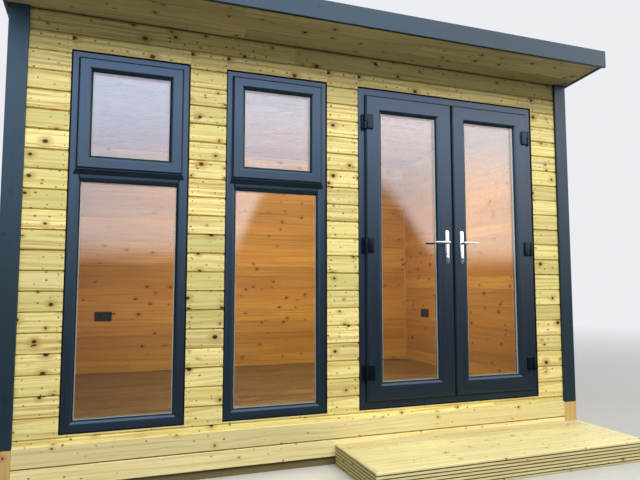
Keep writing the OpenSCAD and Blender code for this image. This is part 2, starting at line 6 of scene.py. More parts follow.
import bmesh
import bpy
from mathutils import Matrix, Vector


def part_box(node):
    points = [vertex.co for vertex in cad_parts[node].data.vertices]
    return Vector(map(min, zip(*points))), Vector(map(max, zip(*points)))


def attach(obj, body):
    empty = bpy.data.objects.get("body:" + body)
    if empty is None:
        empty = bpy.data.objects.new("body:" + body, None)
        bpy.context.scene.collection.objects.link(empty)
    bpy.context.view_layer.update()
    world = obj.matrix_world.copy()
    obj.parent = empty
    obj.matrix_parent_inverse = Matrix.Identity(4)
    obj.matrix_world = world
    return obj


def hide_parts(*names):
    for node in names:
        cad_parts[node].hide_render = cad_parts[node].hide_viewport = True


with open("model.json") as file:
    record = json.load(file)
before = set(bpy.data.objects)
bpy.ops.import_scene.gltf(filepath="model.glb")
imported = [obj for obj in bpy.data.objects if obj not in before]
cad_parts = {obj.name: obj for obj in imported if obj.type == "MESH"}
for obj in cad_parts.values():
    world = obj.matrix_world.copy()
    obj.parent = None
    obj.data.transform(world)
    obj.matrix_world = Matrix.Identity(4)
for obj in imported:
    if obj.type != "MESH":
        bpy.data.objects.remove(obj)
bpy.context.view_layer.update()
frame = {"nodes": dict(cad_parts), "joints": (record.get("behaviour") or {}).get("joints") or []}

MM = 0.001
X, Y, Z = Vector((1, 0, 0)), Vector((0, 1, 0)), Vector((0, 0, 1))
SIDES = (-1, 1)
CORNERS = [(x, y) for x in SIDES for y in SIDES]

# Camera at the photo's viewing angle, fitted to its 640 x 480 frame
CAMERA_AT = (-1.302, -4.527, 1.095)
CAMERA_YAW, CAMERA_PITCH = math.radians(19.89), math.radians(4.66)
CAMERA_LENS_MM = 31.7


def new_object(name, data):
    """An object in the scene."""
    made = bpy.data.objects.new(name, data)
    bpy.context.scene.collection.objects.link(made)
    return made


camera = new_object("camera", bpy.data.cameras.new("camera"))
camera.data.lens = CAMERA_LENS_MM
camera.location = CAMERA_AT
camera.rotation_euler = (math.pi / 2 + CAMERA_PITCH, 0, -CAMERA_YAW)
bpy.context.scene.camera = camera
bpy.context.scene.view_settings.view_transform = "Standard"


# Small helpers for colours and nodes
def linear(hex_colour):
    """An sRGB hex colour as linear RGBA."""
    channels = [int(hex_colour[i:i + 2], 16) / 255 for i in (1, 3, 5)]
    return tuple(c / 12.92 if c <= 0.04045 else ((c + 0.055) / 1.055) ** 2.4 for c in channels) + (1.0,)


def fill(node, inputs):
    """Gives inputs, by name or in their order, a constant, a hex colour or the output that feeds them."""
    for key, value in inputs.items() if isinstance(inputs, dict) else enumerate(inputs):
        if isinstance(value, bpy.types.NodeSocket):
            node.id_data.links.new(value, node.inputs[key])
        else:
            node.inputs[key].default_value = linear(value) if isinstance(value, str) else value


def add(tree, kind, inputs=(), **settings):
    """Adds a node with its settings and links, and gives its outputs."""
    made = tree.nodes.new("ShaderNode" + kind)
    for name, value in settings.items():
        setattr(made, name, value)
    fill(made, inputs)
    return made.outputs


def new_material(name):
    """A node material, its tree and its Principled shader."""
    material = bpy.data.materials.new(name)
    material.use_nodes = True
    tree = material.node_tree
    return material, tree, tree.nodes["Principled BSDF"]


# Settings that many nodes share, and the Mix node's sockets for colours. The inputs of a MapRange are, in
# their order, a value, where its range starts and ends, and where the new range starts and ends.
TIMES, TIMES_PLUS = {"operation": "MULTIPLY"}, {"operation": "MULTIPLY_ADD"}
SMOOTH = {"interpolation_type": "SMOOTHSTEP"}
COLOURS = {"data_type": "RGBA"}
UNDER, OVER, MIXED = 6, 7, 2


def timber(name, pale, deep, stain, knot, halo, along=None, knot_share=0.5, knot_mm=9, streak=0.6,
           pin_share=0.0, tone_spread=0.3, roughness=0.62, relief_mm=0.25, specular=0.3, gloss="#ffffff",
           rings_per_m=(1.3, 62, 40)):
    """Planed or sawn softwood: growth streaks that bend round knots, fibres, and a tone for each board.

    The grain runs along the first axis of each board's own grain coordinates, or, on a piece of the
    construction that is kept, along the named axis of the object.
    """
    material, tree, shader = new_material(name)
    if along is None:
        place, tone = (add(tree, "Attribute", attribute_name=layer)["Vector"] for layer in ("grain", "tone"))
    else:
        turn = {"X": (0, 0, 0), "Y": (0, 0, -math.pi / 2), "Z": (0, math.pi / 2, 0)}[along]
        place = add(tree, "Mapping", {"Vector": add(tree, "TexCoord")["Object"], "Rotation": turn})[0]
        tone = add(tree, "CombineXYZ")[0]
    tones = add(tree, "SeparateXYZ", (tone,))

    # Knots: one chance in each cell, round on the face, with an uneven rim
    wobble = add(tree, "TexNoise", {"Vector": place, "Scale": 160.0, "Detail": 2.0})[0]

    def knots(cell, chance, least, most, rim):
        """The way from the nearest knot's heart, its radius, and how many radii away it is."""
        in_cells = add(tree, "VectorMath", (place, [1 / c for c in cell]), **TIMES)[0]
        cells = add(tree, "TexVoronoi", {"Vector": in_cells, "Scale": 1.0, "Randomness": 0.95})
        way = add(tree, "VectorMath", (in_cells, cells["Position"]), operation="SUBTRACT")[0]
        way = add(tree, "VectorMath", (way, (0.8 * cell[0], cell[1], 0)), **TIMES)[0]
        distance = add(tree, "VectorMath", (way,), operation="LENGTH")["Value"]
        distance = add(tree, "Math", (wobble, rim, distance), **TIMES_PLUS)[0]
        lot = add(tree, "SeparateColor", (cells["Color"],))[0]
        size = add(tree, "MapRange", (lot, 1 - chance, 1, least, most))[0]
        return way, size, add(tree, "Math", (distance, size), operation="DIVIDE")[0]

    away, radius, share = knots((0.21, 0.085, 0.3), knot_share, 1.5 * MM, knot_mm * MM, 6 * MM)
    core = add(tree, "MapRange", (share, 1.25, 0.8), **SMOOTH)[0]
    if pin_share:
        pins = knots((0.085, 0.05, 0.2), pin_share, 1.2 * MM, 8 * MM, 6 * MM)[2]
        pins = add(tree, "MapRange", (pins, 1.4, 0.7, 0, 0.9), **SMOOTH)[0]
        core = add(tree, "Math", (core, pins), operation="MAXIMUM")[0]
    near = add(tree, "MapRange", (share, 3.6, 0.9), **SMOOTH)[0]

    # Growth streaks, pushed aside by the knots and wandering slowly along the board
    aside = add(tree, "VectorMath", (away,), operation="NORMALIZE")[0]
    aside = add(tree, "SeparateXYZ", (aside,))[1]
    push = add(tree, "Math", (near, radius), **TIMES)[0]
    push = add(tree, "Math", (push, aside), **TIMES)[0]
    slow = add(tree, "VectorMath", (place, (1.6, 7, 7)), **TIMES)[0]
    slow = add(tree, "TexNoise", {"Vector": slow, "Scale": 1.0, "Detail": 1.0})[0]
    wander = add(tree, "Math", (slow, 40 * MM, push), **TIMES_PLUS)[0]
    wander = add(tree, "CombineXYZ", {"Y": wander})[0]
    bent = add(tree, "VectorMath", (place, wander), operation="SUBTRACT")[0]
    rings = add(tree, "VectorMath", (bent, rings_per_m), **TIMES)[0]
    rings = add(tree, "TexNoise", {"Vector": rings, "Scale": 1.0, "Detail": 4.0, "Roughness": 0.68})[0]
    fibres = add(tree, "VectorMath", (bent, (14, 620, 300)), **TIMES)[0]
    fibres = add(tree, "TexNoise", {"Vector": fibres, "Scale": 1.0, "Detail": 2.0})[0]

    # Colour: pale and deep growth, a drifting stain, the board's own tone, then the knots and their halos
    banding = add(tree, "MapRange", (rings, 0.4, 0.68, 0, streak), **SMOOTH)[0]
    drift = add(tree, "MapRange", (slow, 0.42, 0.7, 0, 0.5))[0]
    drift = add(tree, "Math", (tones[0], 0.45, drift), **TIMES_PLUS)[0]
    shade = add(tree, "Math", (tones[1], tone_spread, 1 - 0.5 * tone_spread), **TIMES_PLUS)[0]
    shade = add(tree, "Math", (fibres, 0.16, shade), **TIMES_PLUS)[0]
    shade = add(tree, "Math", (shade, 0.08), operation="SUBTRACT")[0]
    warmth = add(tree, "Math", (near, 0.55), **TIMES)[0]
    colour = pale
    for layer, over in ((banding, deep), (drift, stain)):
        colour = add(tree, "Mix", {0: layer, UNDER: colour, OVER: over}, **COLOURS)[MIXED]
    colour = add(tree, "VectorMath", {0: colour, "Scale": shade}, operation="SCALE")[0]
    for layer, over in ((warmth, halo), (core, knot)):
        colour = add(tree, "Mix", {0: layer, UNDER: colour, OVER: over}, **COLOURS)[MIXED]

    height = add(tree, "Math", (fibres, 0.5, rings), **TIMES_PLUS)[0]
    height = add(tree, "Math", (core, -0.6, height), **TIMES_PLUS)[0]
    bump = add(tree, "Bump", {"Height": height, "Distance": relief_mm * MM})[0]
    fill(shader, {"Base Color": colour, "Normal": bump, "Roughness": roughness, "Specular IOR Level": specular,
                  "Specular Tint": gloss})
    return material


# Softwood cladding, pressure treated and planed: honey yellow with a green cast and dark brown knots
cladding_softwood = timber("planed_treated_softwood", pale="#fff1ab", deep="#ba9140", stain="#dfd482",
                           knot="#3a2006", halo="#b5873a", knot_share=0.8, knot_mm=15, streak=0.9,
                           pin_share=1.0)
# The same boards under the overhang, darker and greyer: painted shade for the overhang's underside
soffit_softwood_painted_shade = timber("planed_soffit_timber_painted_shade", pale="#ead9a6", deep="#b59a5e", stain="#c3b682",
                         knot="#3a2006", halo="#a07a3c", knot_share=0.7, knot_mm=12, streak=0.7)
# The same softwood on the base boards and the step, a little paler where the planer left it clean
base_softwood = timber("planed_base_softwood", pale="#fff0b6", deep="#d2b76e", stain="#ecdf9e",
                       knot="#53330f", halo="#c9a455", knot_mm=10, streak=0.75, pin_share=0.4)
step_softwood = timber("planed_deck_softwood", pale="#f3e7b3", deep="#cdb878", stain="#e0d59a",
                       knot="#5f3f1a", halo="#c4a562", knot_share=0.45, knot_mm=11, streak=0.8, pin_share=0.3)
# Corner blocks: sawn treated timber, more orange than the boards, with an open sawn face
block_softwood = timber("sawn_corner_softwood", pale="#dcbb7a", deep="#bd9350", stain="#c9a564",
                        knot="#5c3a1a", halo="#a97a3c", knot_share=0.2, relief_mm=0.6, roughness=0.8)
# Pine lining, planed and lacquered: warm orange brown, with a slight sheen
lacquered_pine = timber("lacquered_pine", pale="#cda04e", deep="#a26e2c", stain="#b68036", knot="#4a240e",
                        halo="#8c4d20", knot_mm=12, streak=0.7, roughness=0.42, relief_mm=0.12)
# Laminate floor: an oak print under a satin wear layer, flat to the touch
laminate_oak = timber("laminate_oak_print", pale="#83694a", deep="#3c2c1d", stain="#6a543a", knot="#2e2117",
                      halo="#463526", knot_share=0.2, knot_mm=12, streak=1.0, roughness=0.36, relief_mm=0.05,
                      rings_per_m=(2.6, 17, 17))
# Trims, fascias and bargeboards: softwood under an opaque brushed paint, so knots show as faint marks
# The paint's gloss is tinted cool: a painted sky colour in its reflections
painted_softwood = timber("brush_painted_softwood", pale="#21323a", deep="#192830", stain="#1d2d35",
                          knot="#10191f", halo="#19272f", knot_mm=10, streak=0.7, tone_spread=0.12,
                          roughness=0.45, relief_mm=0.3, specular=0.42, gloss="#cce6f8")


def sawn_softwood(name, pale, deep, stain, axes):
    """Rough sawn timber of the construction that stays: for each axis, with the grain along it."""
    return {axis: timber(f"sawn_{name}_along_{axis.lower()}", pale, deep, stain, knot="#5c3a1a", halo=deep,
                         along=axis, relief_mm=0.6, roughness=0.8) for axis in axes}


# Framing that shows only at the eaves and in the openings, and bearers darkened by treatment and damp and by
# painted shade under the pod
sawn_frame = sawn_softwood("framing_softwood", "#dcbd84", "#bd9458", "#cba96c", "XYZ")
sawn_bearers_painted_shade = sawn_softwood("treated_bearers", "#8f8058", "#675937", "#7a6c46", "XY")


def strand_board():
    """Pressed strand board: pale flakes up to 90 mm long, laid every way, with darker resin between."""
    material, tree, shader = new_material("pressed_strand_board")
    place = add(tree, "VectorMath", (add(tree, "TexCoord")["Object"], (11, 28, 28)), **TIMES)[0]
    flakes = add(tree, "TexVoronoi", {"Vector": place, "Scale": 1.0})["Color"]
    lots = add(tree, "SeparateColor", (flakes,))
    colour = add(tree, "Mix", {0: lots[0], UNDER: "#b58d57", OVER: "#dcbb86"}, **COLOURS)[MIXED]
    bump = add(tree, "Bump", {"Height": lots[1], "Distance": 0.3 * MM})[0]
    fill(shader, {"Base Color": colour, "Normal": bump, "Roughness": 0.8})
    return material


def foiled_upvc():
    """Extruded uPVC under an anthracite foil, embossed with a fine grain along each member."""
    material, tree, shader = new_material("anthracite_foiled_upvc")
    place = add(tree, "Attribute", attribute_name="grain")["Vector"]
    # Embossed pores about 1.5 mm wide and 60 mm long, drawn as coarse as the render shows
    pores = add(tree, "VectorMath", (place, (16, 640, 640)), **TIMES)[0]
    pores = add(tree, "TexNoise", {"Vector": pores, "Scale": 1.0, "Detail": 3.0})[0]
    bands = add(tree, "VectorMath", (place, (1.2, 90, 90)), **TIMES)[0]
    bands = add(tree, "TexNoise", {"Vector": bands, "Scale": 1.0, "Detail": 2.0})[0]
    blend = add(tree, "Math", (pores, 0.4, bands), **TIMES_PLUS)[0]
    blend = add(tree, "MapRange", (blend, 0.5, 0.9))[0]
    colour = add(tree, "Mix", {0: blend, UNDER: "#16212b", OVER: "#1d2a36"}, **COLOURS)[MIXED]
    rough = add(tree, "MapRange", (bands, 0, 1, 0.3, 0.44))[0]
    bump = add(tree, "Bump", {"Height": pores, "Distance": 0.06 * MM})[0]
    # Its gloss is tinted cool: a painted sky colour in the reflections
    fill(shader, {"Base Color": colour, "Roughness": rough, "Normal": bump, "Specular Tint": "#c8e4ff",
                  "Specular IOR Level": 0.62})
    return material


def plain_finish(name, low, high, roughness, grit_mm, relief_mm=0.0, metallic=0.0, specular=0.5,
                 gloss="#ffffff"):
    """A moulded, coated, rolled or polished surface: two close colours and a fine relief of one grit size."""
    material, tree, shader = new_material(name)
    place = add(tree, "TexCoord")["Object"]
    grit = add(tree, "TexNoise", {"Vector": place, "Scale": 1 / (grit_mm * MM), "Detail": 3.0})[0]
    colour = add(tree, "Mix", {0: grit, UNDER: low, OVER: high}, **COLOURS)[MIXED]
    fill(shader, {"Base Color": colour, "Roughness": roughness, "Metallic": metallic,
                  "Specular IOR Level": specular, "Specular Tint": gloss})
    if relief_mm:
        fill(shader, {"Normal": add(tree, "Bump", {"Height": grit, "Distance": relief_mm * MM})[0]})
    return material


def clear_glass():
    """Float glass, 4 mm: clear, with rays from lamps let through so that they light the room behind."""
    material, tree, shader = new_material("clear_float_glass")
    tint = "#f4faf8"
    fill(shader, {"Base Color": tint, "Roughness": 0.0, "IOR": 1.52, "Transmission Weight": 1.0})
    through = add(tree, "BsdfTransparent", {"Color": tint})[0]
    lamp_ray = add(tree, "LightPath")["Is Shadow Ray"]
    both = add(tree, "MixShader", (lamp_ray, shader.outputs[0], through))[0]
    fill(tree.nodes["Material Output"], {"Surface": both})
    return material


strand = strand_board()
upvc_foil = foiled_upvc()
glass = clear_glass()
# Glazing and door seals: extruded black rubber, matt
seal_rubber = plain_finish("extruded_seal_rubber", "#0c0d0e", "#16181a", 0.8, 2.0, 0.05, specular=0.15)
# Sealant round the frames, hand smoothed, cured and faintly uneven; near black and wide, it also paints the
# gap's shadow
sealant_and_gap_shade = plain_finish("cured_frame_sealant", "#0b0c0c", "#141514", 0.9, 12.0, 0.4, specular=0.1)
# Spacer bar in the glass units: rolled bright aluminium, slightly frosted
spacer_aluminium = plain_finish("rolled_spacer_aluminium", "#c4c7cc", "#dcdfe3", 0.5, 3.0, metallic=0.3)
# Hinges: die-cast and powder coated, with a fine orange-peel satin
# Its gloss is tinted cool: a painted sky colour in its reflections
powder_coat = plain_finish("satin_powder_coat", "#0a1319", "#111b22", 0.2, 1.2, 0.03, specular=0.24,
                           gloss="#b8dcf8")
# Handles: zinc, polished and chrome plated, a near mirror
polished_chrome = plain_finish("polished_chrome", "#e8eaec", "#f2f4f5", 0.08, 6.0, metallic=1.0)
# Keyway and slots: near-black plates, a little proud of their faces, that paint the shade inside a small
# opening
opening_painted_shade = plain_finish("opening_shade_plate", "#08090a", "#101113", 0.8, 3.0)
# Socket plates: black nickel, brushed flat
black_nickel = plain_finish("black_nickel", "#2b2b2e", "#38383c", 0.28, 2.0, metallic=1.0)
# Rockers and socket faces: moulded black thermoset, glossy
socket_moulding = plain_finish("moulded_black_thermoset", "#0d0d0f", "#151517", 0.25, 3.0)
# Roof: EPDM rubber sheet, matt black with a faint bloom and small ripples
roof_rubber = plain_finish("epdm_roof_rubber", "#1d1e20", "#2c2e30", 0.72, 45.0, 0.8)
# Dark strips in the grooves of the step: painted shade, with damp dirt over green-brown stained wood, matt and
# uneven
groove_grime = plain_finish("groove_grime", "#4d4526", "#6f6438", 0.9, 6.0, 0.5, specular=0.1)
# Nail heads: galvanised steel, dulled
galvanised = plain_finish("galvanised_nails", "#3b3119", "#574a29", 0.7, 1.0, specular=0.2)


class Piece:
    """Closed shapes gathered into one mesh. Each shape has its own place in the log and its own tone."""

    def __init__(self, name):
        self.name = name
        self.points, self.faces, self.grain, self.tone = [], [], [], []
        self.chance = random.Random(name)

    def look(self):
        """A new place in the log and a new tone."""
        place = Vector([self.chance.uniform(0, 60) for _ in range(3)])
        return place, Vector([self.chance.random() for _ in range(3)])

    def loft(self, rings, grains=None, look=None):
        """Skins rings that have as many points each, and closes both ends."""
        place, tone = look or self.look()
        first, count = len(self.points), len(rings[0])
        for ring, grain in zip(rings, grains or rings):
            self.points += [Vector(p) for p in ring]
            self.grain += [place + Vector(g) for g in grain]
        self.tone += [tone] * (count * len(rings))
        last = first + count * (len(rings) - 1)
        for start in range(first, last, count):
            for i in range(count):
                j = (i + 1) % count
                self.faces.append((start + i, start + j, start + count + j, start + count + i))
        self.faces.append(tuple(range(first + count - 1, first - 1, -1)))
        self.faces.append(tuple(range(last, last + count)))

    def turned(self, at, across, up, out, levels, steps):
        """Skins circles round a line out from a point. Each level is a radius and how far out it lies."""
        turns = [math.tau * k / steps for k in range(steps)]
        self.loft([[at + (across * math.cos(a) + up * math.sin(a)) * r + out * h for a in turns]
                   for r, h in levels])

    def prism(self, outline, at, along, across, out, length, mitres=(0, 0), look=None, edge_on=False):
        """Draws an outline of (across, out) points out along a direction. A mitre of 1 cuts an end at 45
        degrees, so that the member gets shorter as it goes across. The knots lie round on the face that
        looks out or, edge on, on the one that looks across."""
        ends = [[(mitres[0] * u, u, v) for u, v in outline],
                [(length - mitres[1] * u, u, v) for u, v in outline]]
        rings = [[at + along * s + across * u + out * v for s, u, v in end] for end in ends]
        self.loft(rings, [[(s, v, u) for s, u, v in end] for end in ends] if edge_on else ends, look)

    def member_ring(self, outline, x0, x1, z0, z1, y, gap=0.2 * MM, shares=(1, 1, 1, 1)):
        """Four mitred members round an upright rectangle: bottom, right, top and left.

        The outline runs inwards and back from y. Each member is its own share of it wide.
        """
        w, h = x1 - x0, z1 - z0
        sides = ((x0, z0, X, Z, w), (x1, z0, Z, -X, h), (x1, z1, -X, -Z, w), (x0, z1, -Z, X, h))
        for k, (x, z, along, across, length) in enumerate(sides):
            member = [(u * shares[k], v) for u, v in outline]
            mitres = (shares[k - 1] / shares[k], shares[(k + 1) % 4] / shares[k])
            self.prism(member, Vector((x, y, z)) + along * gap, along, across, Y, length - 2 * gap, mitres)

    def finish(self, material, slot, body="pod", replaces=(), cuts=(), smooth=32):
        """Makes the object. Each cut is a plane, and what lies on its normal's side goes."""
        mesh = bpy.data.meshes.new(self.name)
        mesh.from_pydata(self.points, [], self.faces)
        for name, values in (("grain", self.grain), ("tone", self.tone)):
            layer = mesh.attributes.new(name, "FLOAT_VECTOR", "POINT")
            layer.data.foreach_set("vector", [c for value in values for c in value])
        work = bmesh.new()
        work.from_mesh(mesh)
        for point, normal in cuts:
            everything = work.verts[:] + work.edges[:] + work.faces[:]
            cut = bmesh.ops.bisect_plane(work, geom=everything, dist=1e-7, plane_co=point, plane_no=normal,
                                         clear_outer=True)
            rim = [e for e in cut["geom_cut"] if isinstance(e, bmesh.types.BMEdge)]
            bmesh.ops.holes_fill(work, edges=rim, sides=0)
        bmesh.ops.recalc_face_normals(work, faces=work.faces[:])
        work.to_mesh(mesh)
        work.free()
        mesh.shade_smooth()
        mesh.set_sharp_from_angle(angle=math.radians(smooth))
        mesh.materials.append(material)
        made = new_object(self.name, mesh)
        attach(made, body)
        if replaces:
            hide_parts(*replaces)


# A point this far from a rounded edge holds the normals of the flat face beside it
HOLD = 0.5 * MM


def oblong(u0, v0, u1, v1):
    """Outline of a rectangle between two opposite corners."""
    return [(u0, v0), (u1, v0), (u1, v1), (u0, v1)]


def arc(centre, radius, start, end, steps=4):
    """Points of a round stretch of an outline, from one angle to another, in degrees."""
    turns = [math.radians(start + (end - start) * k / steps) for k in range(steps + 1)]
    return [(centre[0] + radius * math.cos(t), centre[1] + radius * math.sin(t)) for t in turns]


def planed(width, thickness, edge=3 * MM):
    """Outline of a planed board: its two front edges are rounded, its back lies at 0."""
    return [(0, 0), *arc((edge, thickness - edge), edge, 180, 90), (edge + HOLD, thickness),
            (width - edge - HOLD, thickness), *arc((width - edge, thickness - edge), edge, 90, 0), (width, 0)]


def eased(outline, reach=0.7 * MM):
    """The outline with each of its corners cut back a little along both sides, where it isn't a curve."""
    points = []
    for before, corner, after in zip(outline[-1:] + outline[:-1], outline, outline[1:] + outline[:1]):
        turn = abs((Vector(corner) - Vector(before)).angle_signed(Vector(after) - Vector(corner)))
        if turn < math.radians(25):
            points.append(corner)
            continue
        for other in (before, after):
            share = min(reach / math.dist(corner, other), 0.4)
            points.append(tuple(c + (o - c) * share for c, o in zip(corner, other)))
    return points


def clip(outline, low, high):
    """The part of an outline that lies between two places across it."""
    for limit, keep in ((low, 1), (high, -1)):
        kept = []
        for (u0, v0), (u1, v1) in zip(outline[-1:] + outline[:-1], outline):
            inside0, inside1 = keep * (u0 - limit) >= 0, keep * (u1 - limit) >= 0
            if inside0 != inside1:
                kept.append((limit, v0 + (v1 - v0) * (limit - u0) / (u1 - u0)))
            if inside1:
                kept.append((u1, v1))
        outline = kept
    return outline


# Places read from the frame
clad_low, clad_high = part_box("side_cladding")
front_low, front_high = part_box("front_cladding_bands")
panel_low, panel_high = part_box("front_cladding_panels")
room_low, room_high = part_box("back_lining")
laminate_low, laminate_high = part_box("laminate_floor")
window_low, window_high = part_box("window_frames")
sash_low, sash_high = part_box("vent_sashes")
door_low, door_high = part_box("door_frame")
trim_low, trim_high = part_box("corner_trims_face")

front_y, back_y = clad_low.y, clad_high.y
half_w = clad_high.x
clad_t = front_high.y - front_y
lining_t = room_high.y - room_low.y
frame_in_x, frame_in_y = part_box("side_lining")[1].x, room_high.y
room_x, room_y = frame_in_x - lining_t, room_low.y
floor_z, sill_z, head_z, base_top = laminate_high.z, panel_low.z, panel_high.z, clad_low.z
WINDOW_W = 0.650
windows = [window_low.x, window_high.x - WINDOW_W]
openings = [(x, x + WINDOW_W) for x in windows] + [(door_low.x, door_high.x)]

# The roof falls to the back. v is measured square to its slope from the underside of the soffit.
ROOF_SLOPE = math.radians(5)
SOFFIT_T = 12 * MM
soffit_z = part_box("front_lining_top")[1].z + math.tan(ROOF_SLOPE) * (-frame_in_y - front_y)
down_slope = Vector((0, math.cos(ROOF_SLOPE), -math.sin(ROOF_SLOPE)))
off_slope = Vector((0, math.sin(ROOF_SLOPE), math.cos(ROOF_SLOPE)))


def roof_point(v):
    """A point at the front cladding on the roof's plane v."""
    return Vector((0, front_y, soffit_z)) + off_slope * v


def under_roof(v):
    """The one cut, in a list, that trims a piece to the roof's plane v."""
    return [(roof_point(v), off_slope)]


def along_front(ends):
    """Each stretch of the front between two ends, and whether an opening lies there."""
    edges = [ends[0]] + [x for opening in openings for x in opening] + [ends[1]]
    return [(x0, x1, k % 2 == 1) for k, (x0, x1) in enumerate(zip(edges[:-1], edges[1:]))]


# Cladding: shiplap boards with a rounded lower nose over the cove of the board below
BOARD_PITCH = 110 * MM
JOINT_H = JOINT_D = 12 * MM
NOSE_R = 2.5 * MM
FIRST_JOINT_Z = 0.300
LEAST_BOARD_H = 20 * MM
BUTT_GAP = 0.6 * MM


def shiplap(height):
    """Outline of a cladding board, its nose at 0 and its cove at the top."""
    cove = [(height - JOINT_H * math.cos(a), clad_t - JOINT_D * math.sin(a))
            for a in (math.pi / 2 * k / 5 for k in range(6))]
    return [(0, 0), *arc((NOSE_R, clad_t - NOSE_R), NOSE_R, 180, 90), (NOSE_R + HOLD, clad_t),
            (height - JOINT_H - HOLD, clad_t), *cove, (height, 0)]


def rows(low, high):
    """Bottom and height of each row of boards from low to high, with no sliver at the top."""
    bottom = FIRST_JOINT_Z + BOARD_PITCH * math.floor((low - FIRST_JOINT_Z) / BOARD_PITCH)
    while bottom < high - LEAST_BOARD_H:
        last = bottom + BOARD_PITCH > high - LEAST_BOARD_H
        yield bottom, (high - bottom if last else BOARD_PITCH)
        bottom += BOARD_PITCH


# A low domed nail head, as radii and heights, and where nails go: how far in from a board's ends and edges and
# how far astray. Narrower or shorter boards have none.
NAIL_HEAD = [(3 * MM, -0.3 * MM), (3 * MM, 0.2 * MM), (1.5 * MM, 0.5 * MM)]
NAIL_IN, NAIL_UP, NAIL_DOWN, NAIL_STRAY_MM = 22 * MM, 22 * MM, 30 * MM, 4
NAILED_H, NAILED_L = 60 * MM, 80 * MM
STUD_PITCH = 0.6
nails = Piece("cladding_nails")


def clad_run(piece, at, along, out, length, height, part, look=None):
    """One board of a row, cut to a part of its height, with its nails near the ends and at the studs."""
    piece.prism(clip(shiplap(height), *part), at, along, Z, out, length, look=look)
    low, high = part
    if high - low < NAILED_H or length < NAILED_L:
        return
    studs = max(1, round(length / STUD_PITCH))
    for k in range(studs + 1):
        s = NAIL_IN + (length - 2 * NAIL_IN) * k / studs
        for u in (low + NAIL_UP, high - NAIL_DOWN):
            stray = piece.chance.uniform(-NAIL_STRAY_MM, NAIL_STRAY_MM) * MM
            nails.turned(at + along * (s + stray) + Z * u + out * clad_t, out.cross(Z), Z, out, NAIL_HEAD, 8)


# Butt joints of the long boards over and under the openings, as places along the front
TOP_BUTTS = (-1.56, -0.27, 1.02)
FOOT_BUTTS = (-1.60, -0.62, 1.19)


def front_cladding():
    """The front boards: whole rows over and under the openings, short boards between them."""
    piece = Piece("front_cladding_boards")
    ends = (front_low.x, front_high.x)
    for number, (bottom, height) in enumerate(rows(base_top, soffit_z)):
        low, high = max(bottom, base_top), min(bottom + height, soffit_z + SOFFIT_T)
        whole, through = (low - bottom, height), None
        if high <= sill_z or low >= head_z:
            butts = FOOT_BUTTS if high <= sill_z else TOP_BUTTS
            breaks = [ends[0], *butts[number % 2::2], ends[1]]
            runs = [(x0, x1 - BUTT_GAP, whole) for x0, x1 in zip(breaks[:-1], breaks[1:])]
        else:
            # The board that an opening's bottom or top is notched into runs through in one tone
            if low < sill_z < high or low < head_z < high:
                through = piece.look()
            by_opening = None
            if low < sill_z:
                by_opening = (low - bottom, sill_z - bottom)
            elif high > head_z:
                by_opening = (head_z - bottom, height)
            runs = [(x0, x1, by_opening if opening else whole) for x0, x1, opening in along_front(ends)]
        for x0, x1, part in runs:
            if part:
                clad_run(piece, Vector((x0, front_high.y, bottom)), X, -Y, x1 - x0, height, part, through)
    piece.finish(cladding_softwood, "cladding", replaces=("front_cladding_panels", "front_cladding_bands"),
                 cuts=under_roof(SOFFIT_T))


def wall_boards(name, replaced, walls):
    """The boards of closed walls: for each, its start, its direction, its outward side and its length."""
    piece = Piece(name)
    for start, along, out, length in walls:
        for number, (bottom, height) in enumerate(rows(base_top, soffit_z)):
            part = (max(bottom, base_top) - bottom, height)
            # Every other row butts on the other side of the middle
            butt = length * (0.38 + 0.24 * (number % 2)) + piece.chance.uniform(-0.12, 0.12)
            at = Vector((start[0], start[1], bottom))
            clad_run(piece, at, along, out, butt - BUTT_GAP, height, part)
            clad_run(piece, at + along * butt, along, out, length - butt, height, part)
    piece.finish(cladding_softwood, "cladding", replaces=(replaced,), cuts=under_roof(SOFFIT_T))


front_cladding()
wall_boards("side_cladding_boards", "side_cladding",
            [((side * (half_w - clad_t), front_y), Y, X * side, back_y - front_y) for side in SIDES])
wall_boards("back_cladding_boards", "back_cladding",
            [((front_low.x, back_y - clad_t), X, Y, front_high.x - front_low.x)])
nails.finish(galvanised, "cladding", cuts=under_roof(0))

# Boards with V joints, and the beads and liners beside them
LINING_JOINT, SOFFIT_JOINT, PLANK_BEVEL = 2.5 * MM, 3 * MM, 1 * MM
BEAD_R, LINER_T = 12 * MM, 9 * MM


def vee(width, thickness, joint):
    """Outline of a matchboard whose two front edges are chamfered, its back at 0."""
    return [(0, 0), (0, thickness - joint), (joint, thickness), (width - joint, thickness),
            (width, thickness - joint), (width, 0)]


def room_lining():
    """Pine boards inside the four walls, the front ones cut round the openings."""
    heights = [floor_z + BOARD_PITCH * k for k in range(math.ceil((soffit_z - floor_z) / BOARD_PITCH))]
    board = vee(BOARD_PITCH, lining_t, LINING_JOINT)
    side_walls = [((side * frame_in_x, -room_y), Y, X * -side, 2 * room_y) for side in SIDES]
    back_wall = [((-frame_in_x, frame_in_y), X, -Y, 2 * frame_in_x)]
    for name, replaced, walls in (("side_lining_boards", "side_lining", side_walls),
                                  ("back_lining_boards", "back_lining", back_wall)):
        piece = Piece(name)
        for (x, y), along, out, length in walls:
            for bottom in heights:
                piece.prism(clip(board, 0, BOARD_PITCH), Vector((x, y, bottom)), along, Z, out, length)
        piece.finish(lacquered_pine, "pine_lining", replaces=(replaced,), cuts=under_roof(0))

    piece = Piece("front_lining_boards")
    for bottom in heights:
        for x0, x1, opening in along_front((-frame_in_x, frame_in_x)):
            low = max(head_z if opening else floor_z, bottom) - bottom
            high = min(soffit_z - bottom, BOARD_PITCH)
            if high - low > MM:
                piece.prism(clip(board, low, high), Vector((x0, -frame_in_y, bottom)), X, Z, Y, x1 - x0)
    piece.finish(lacquered_pine, "pine_lining", replaces=("front_lining_panels", "front_lining_top"),
                 cuts=under_roof(0))


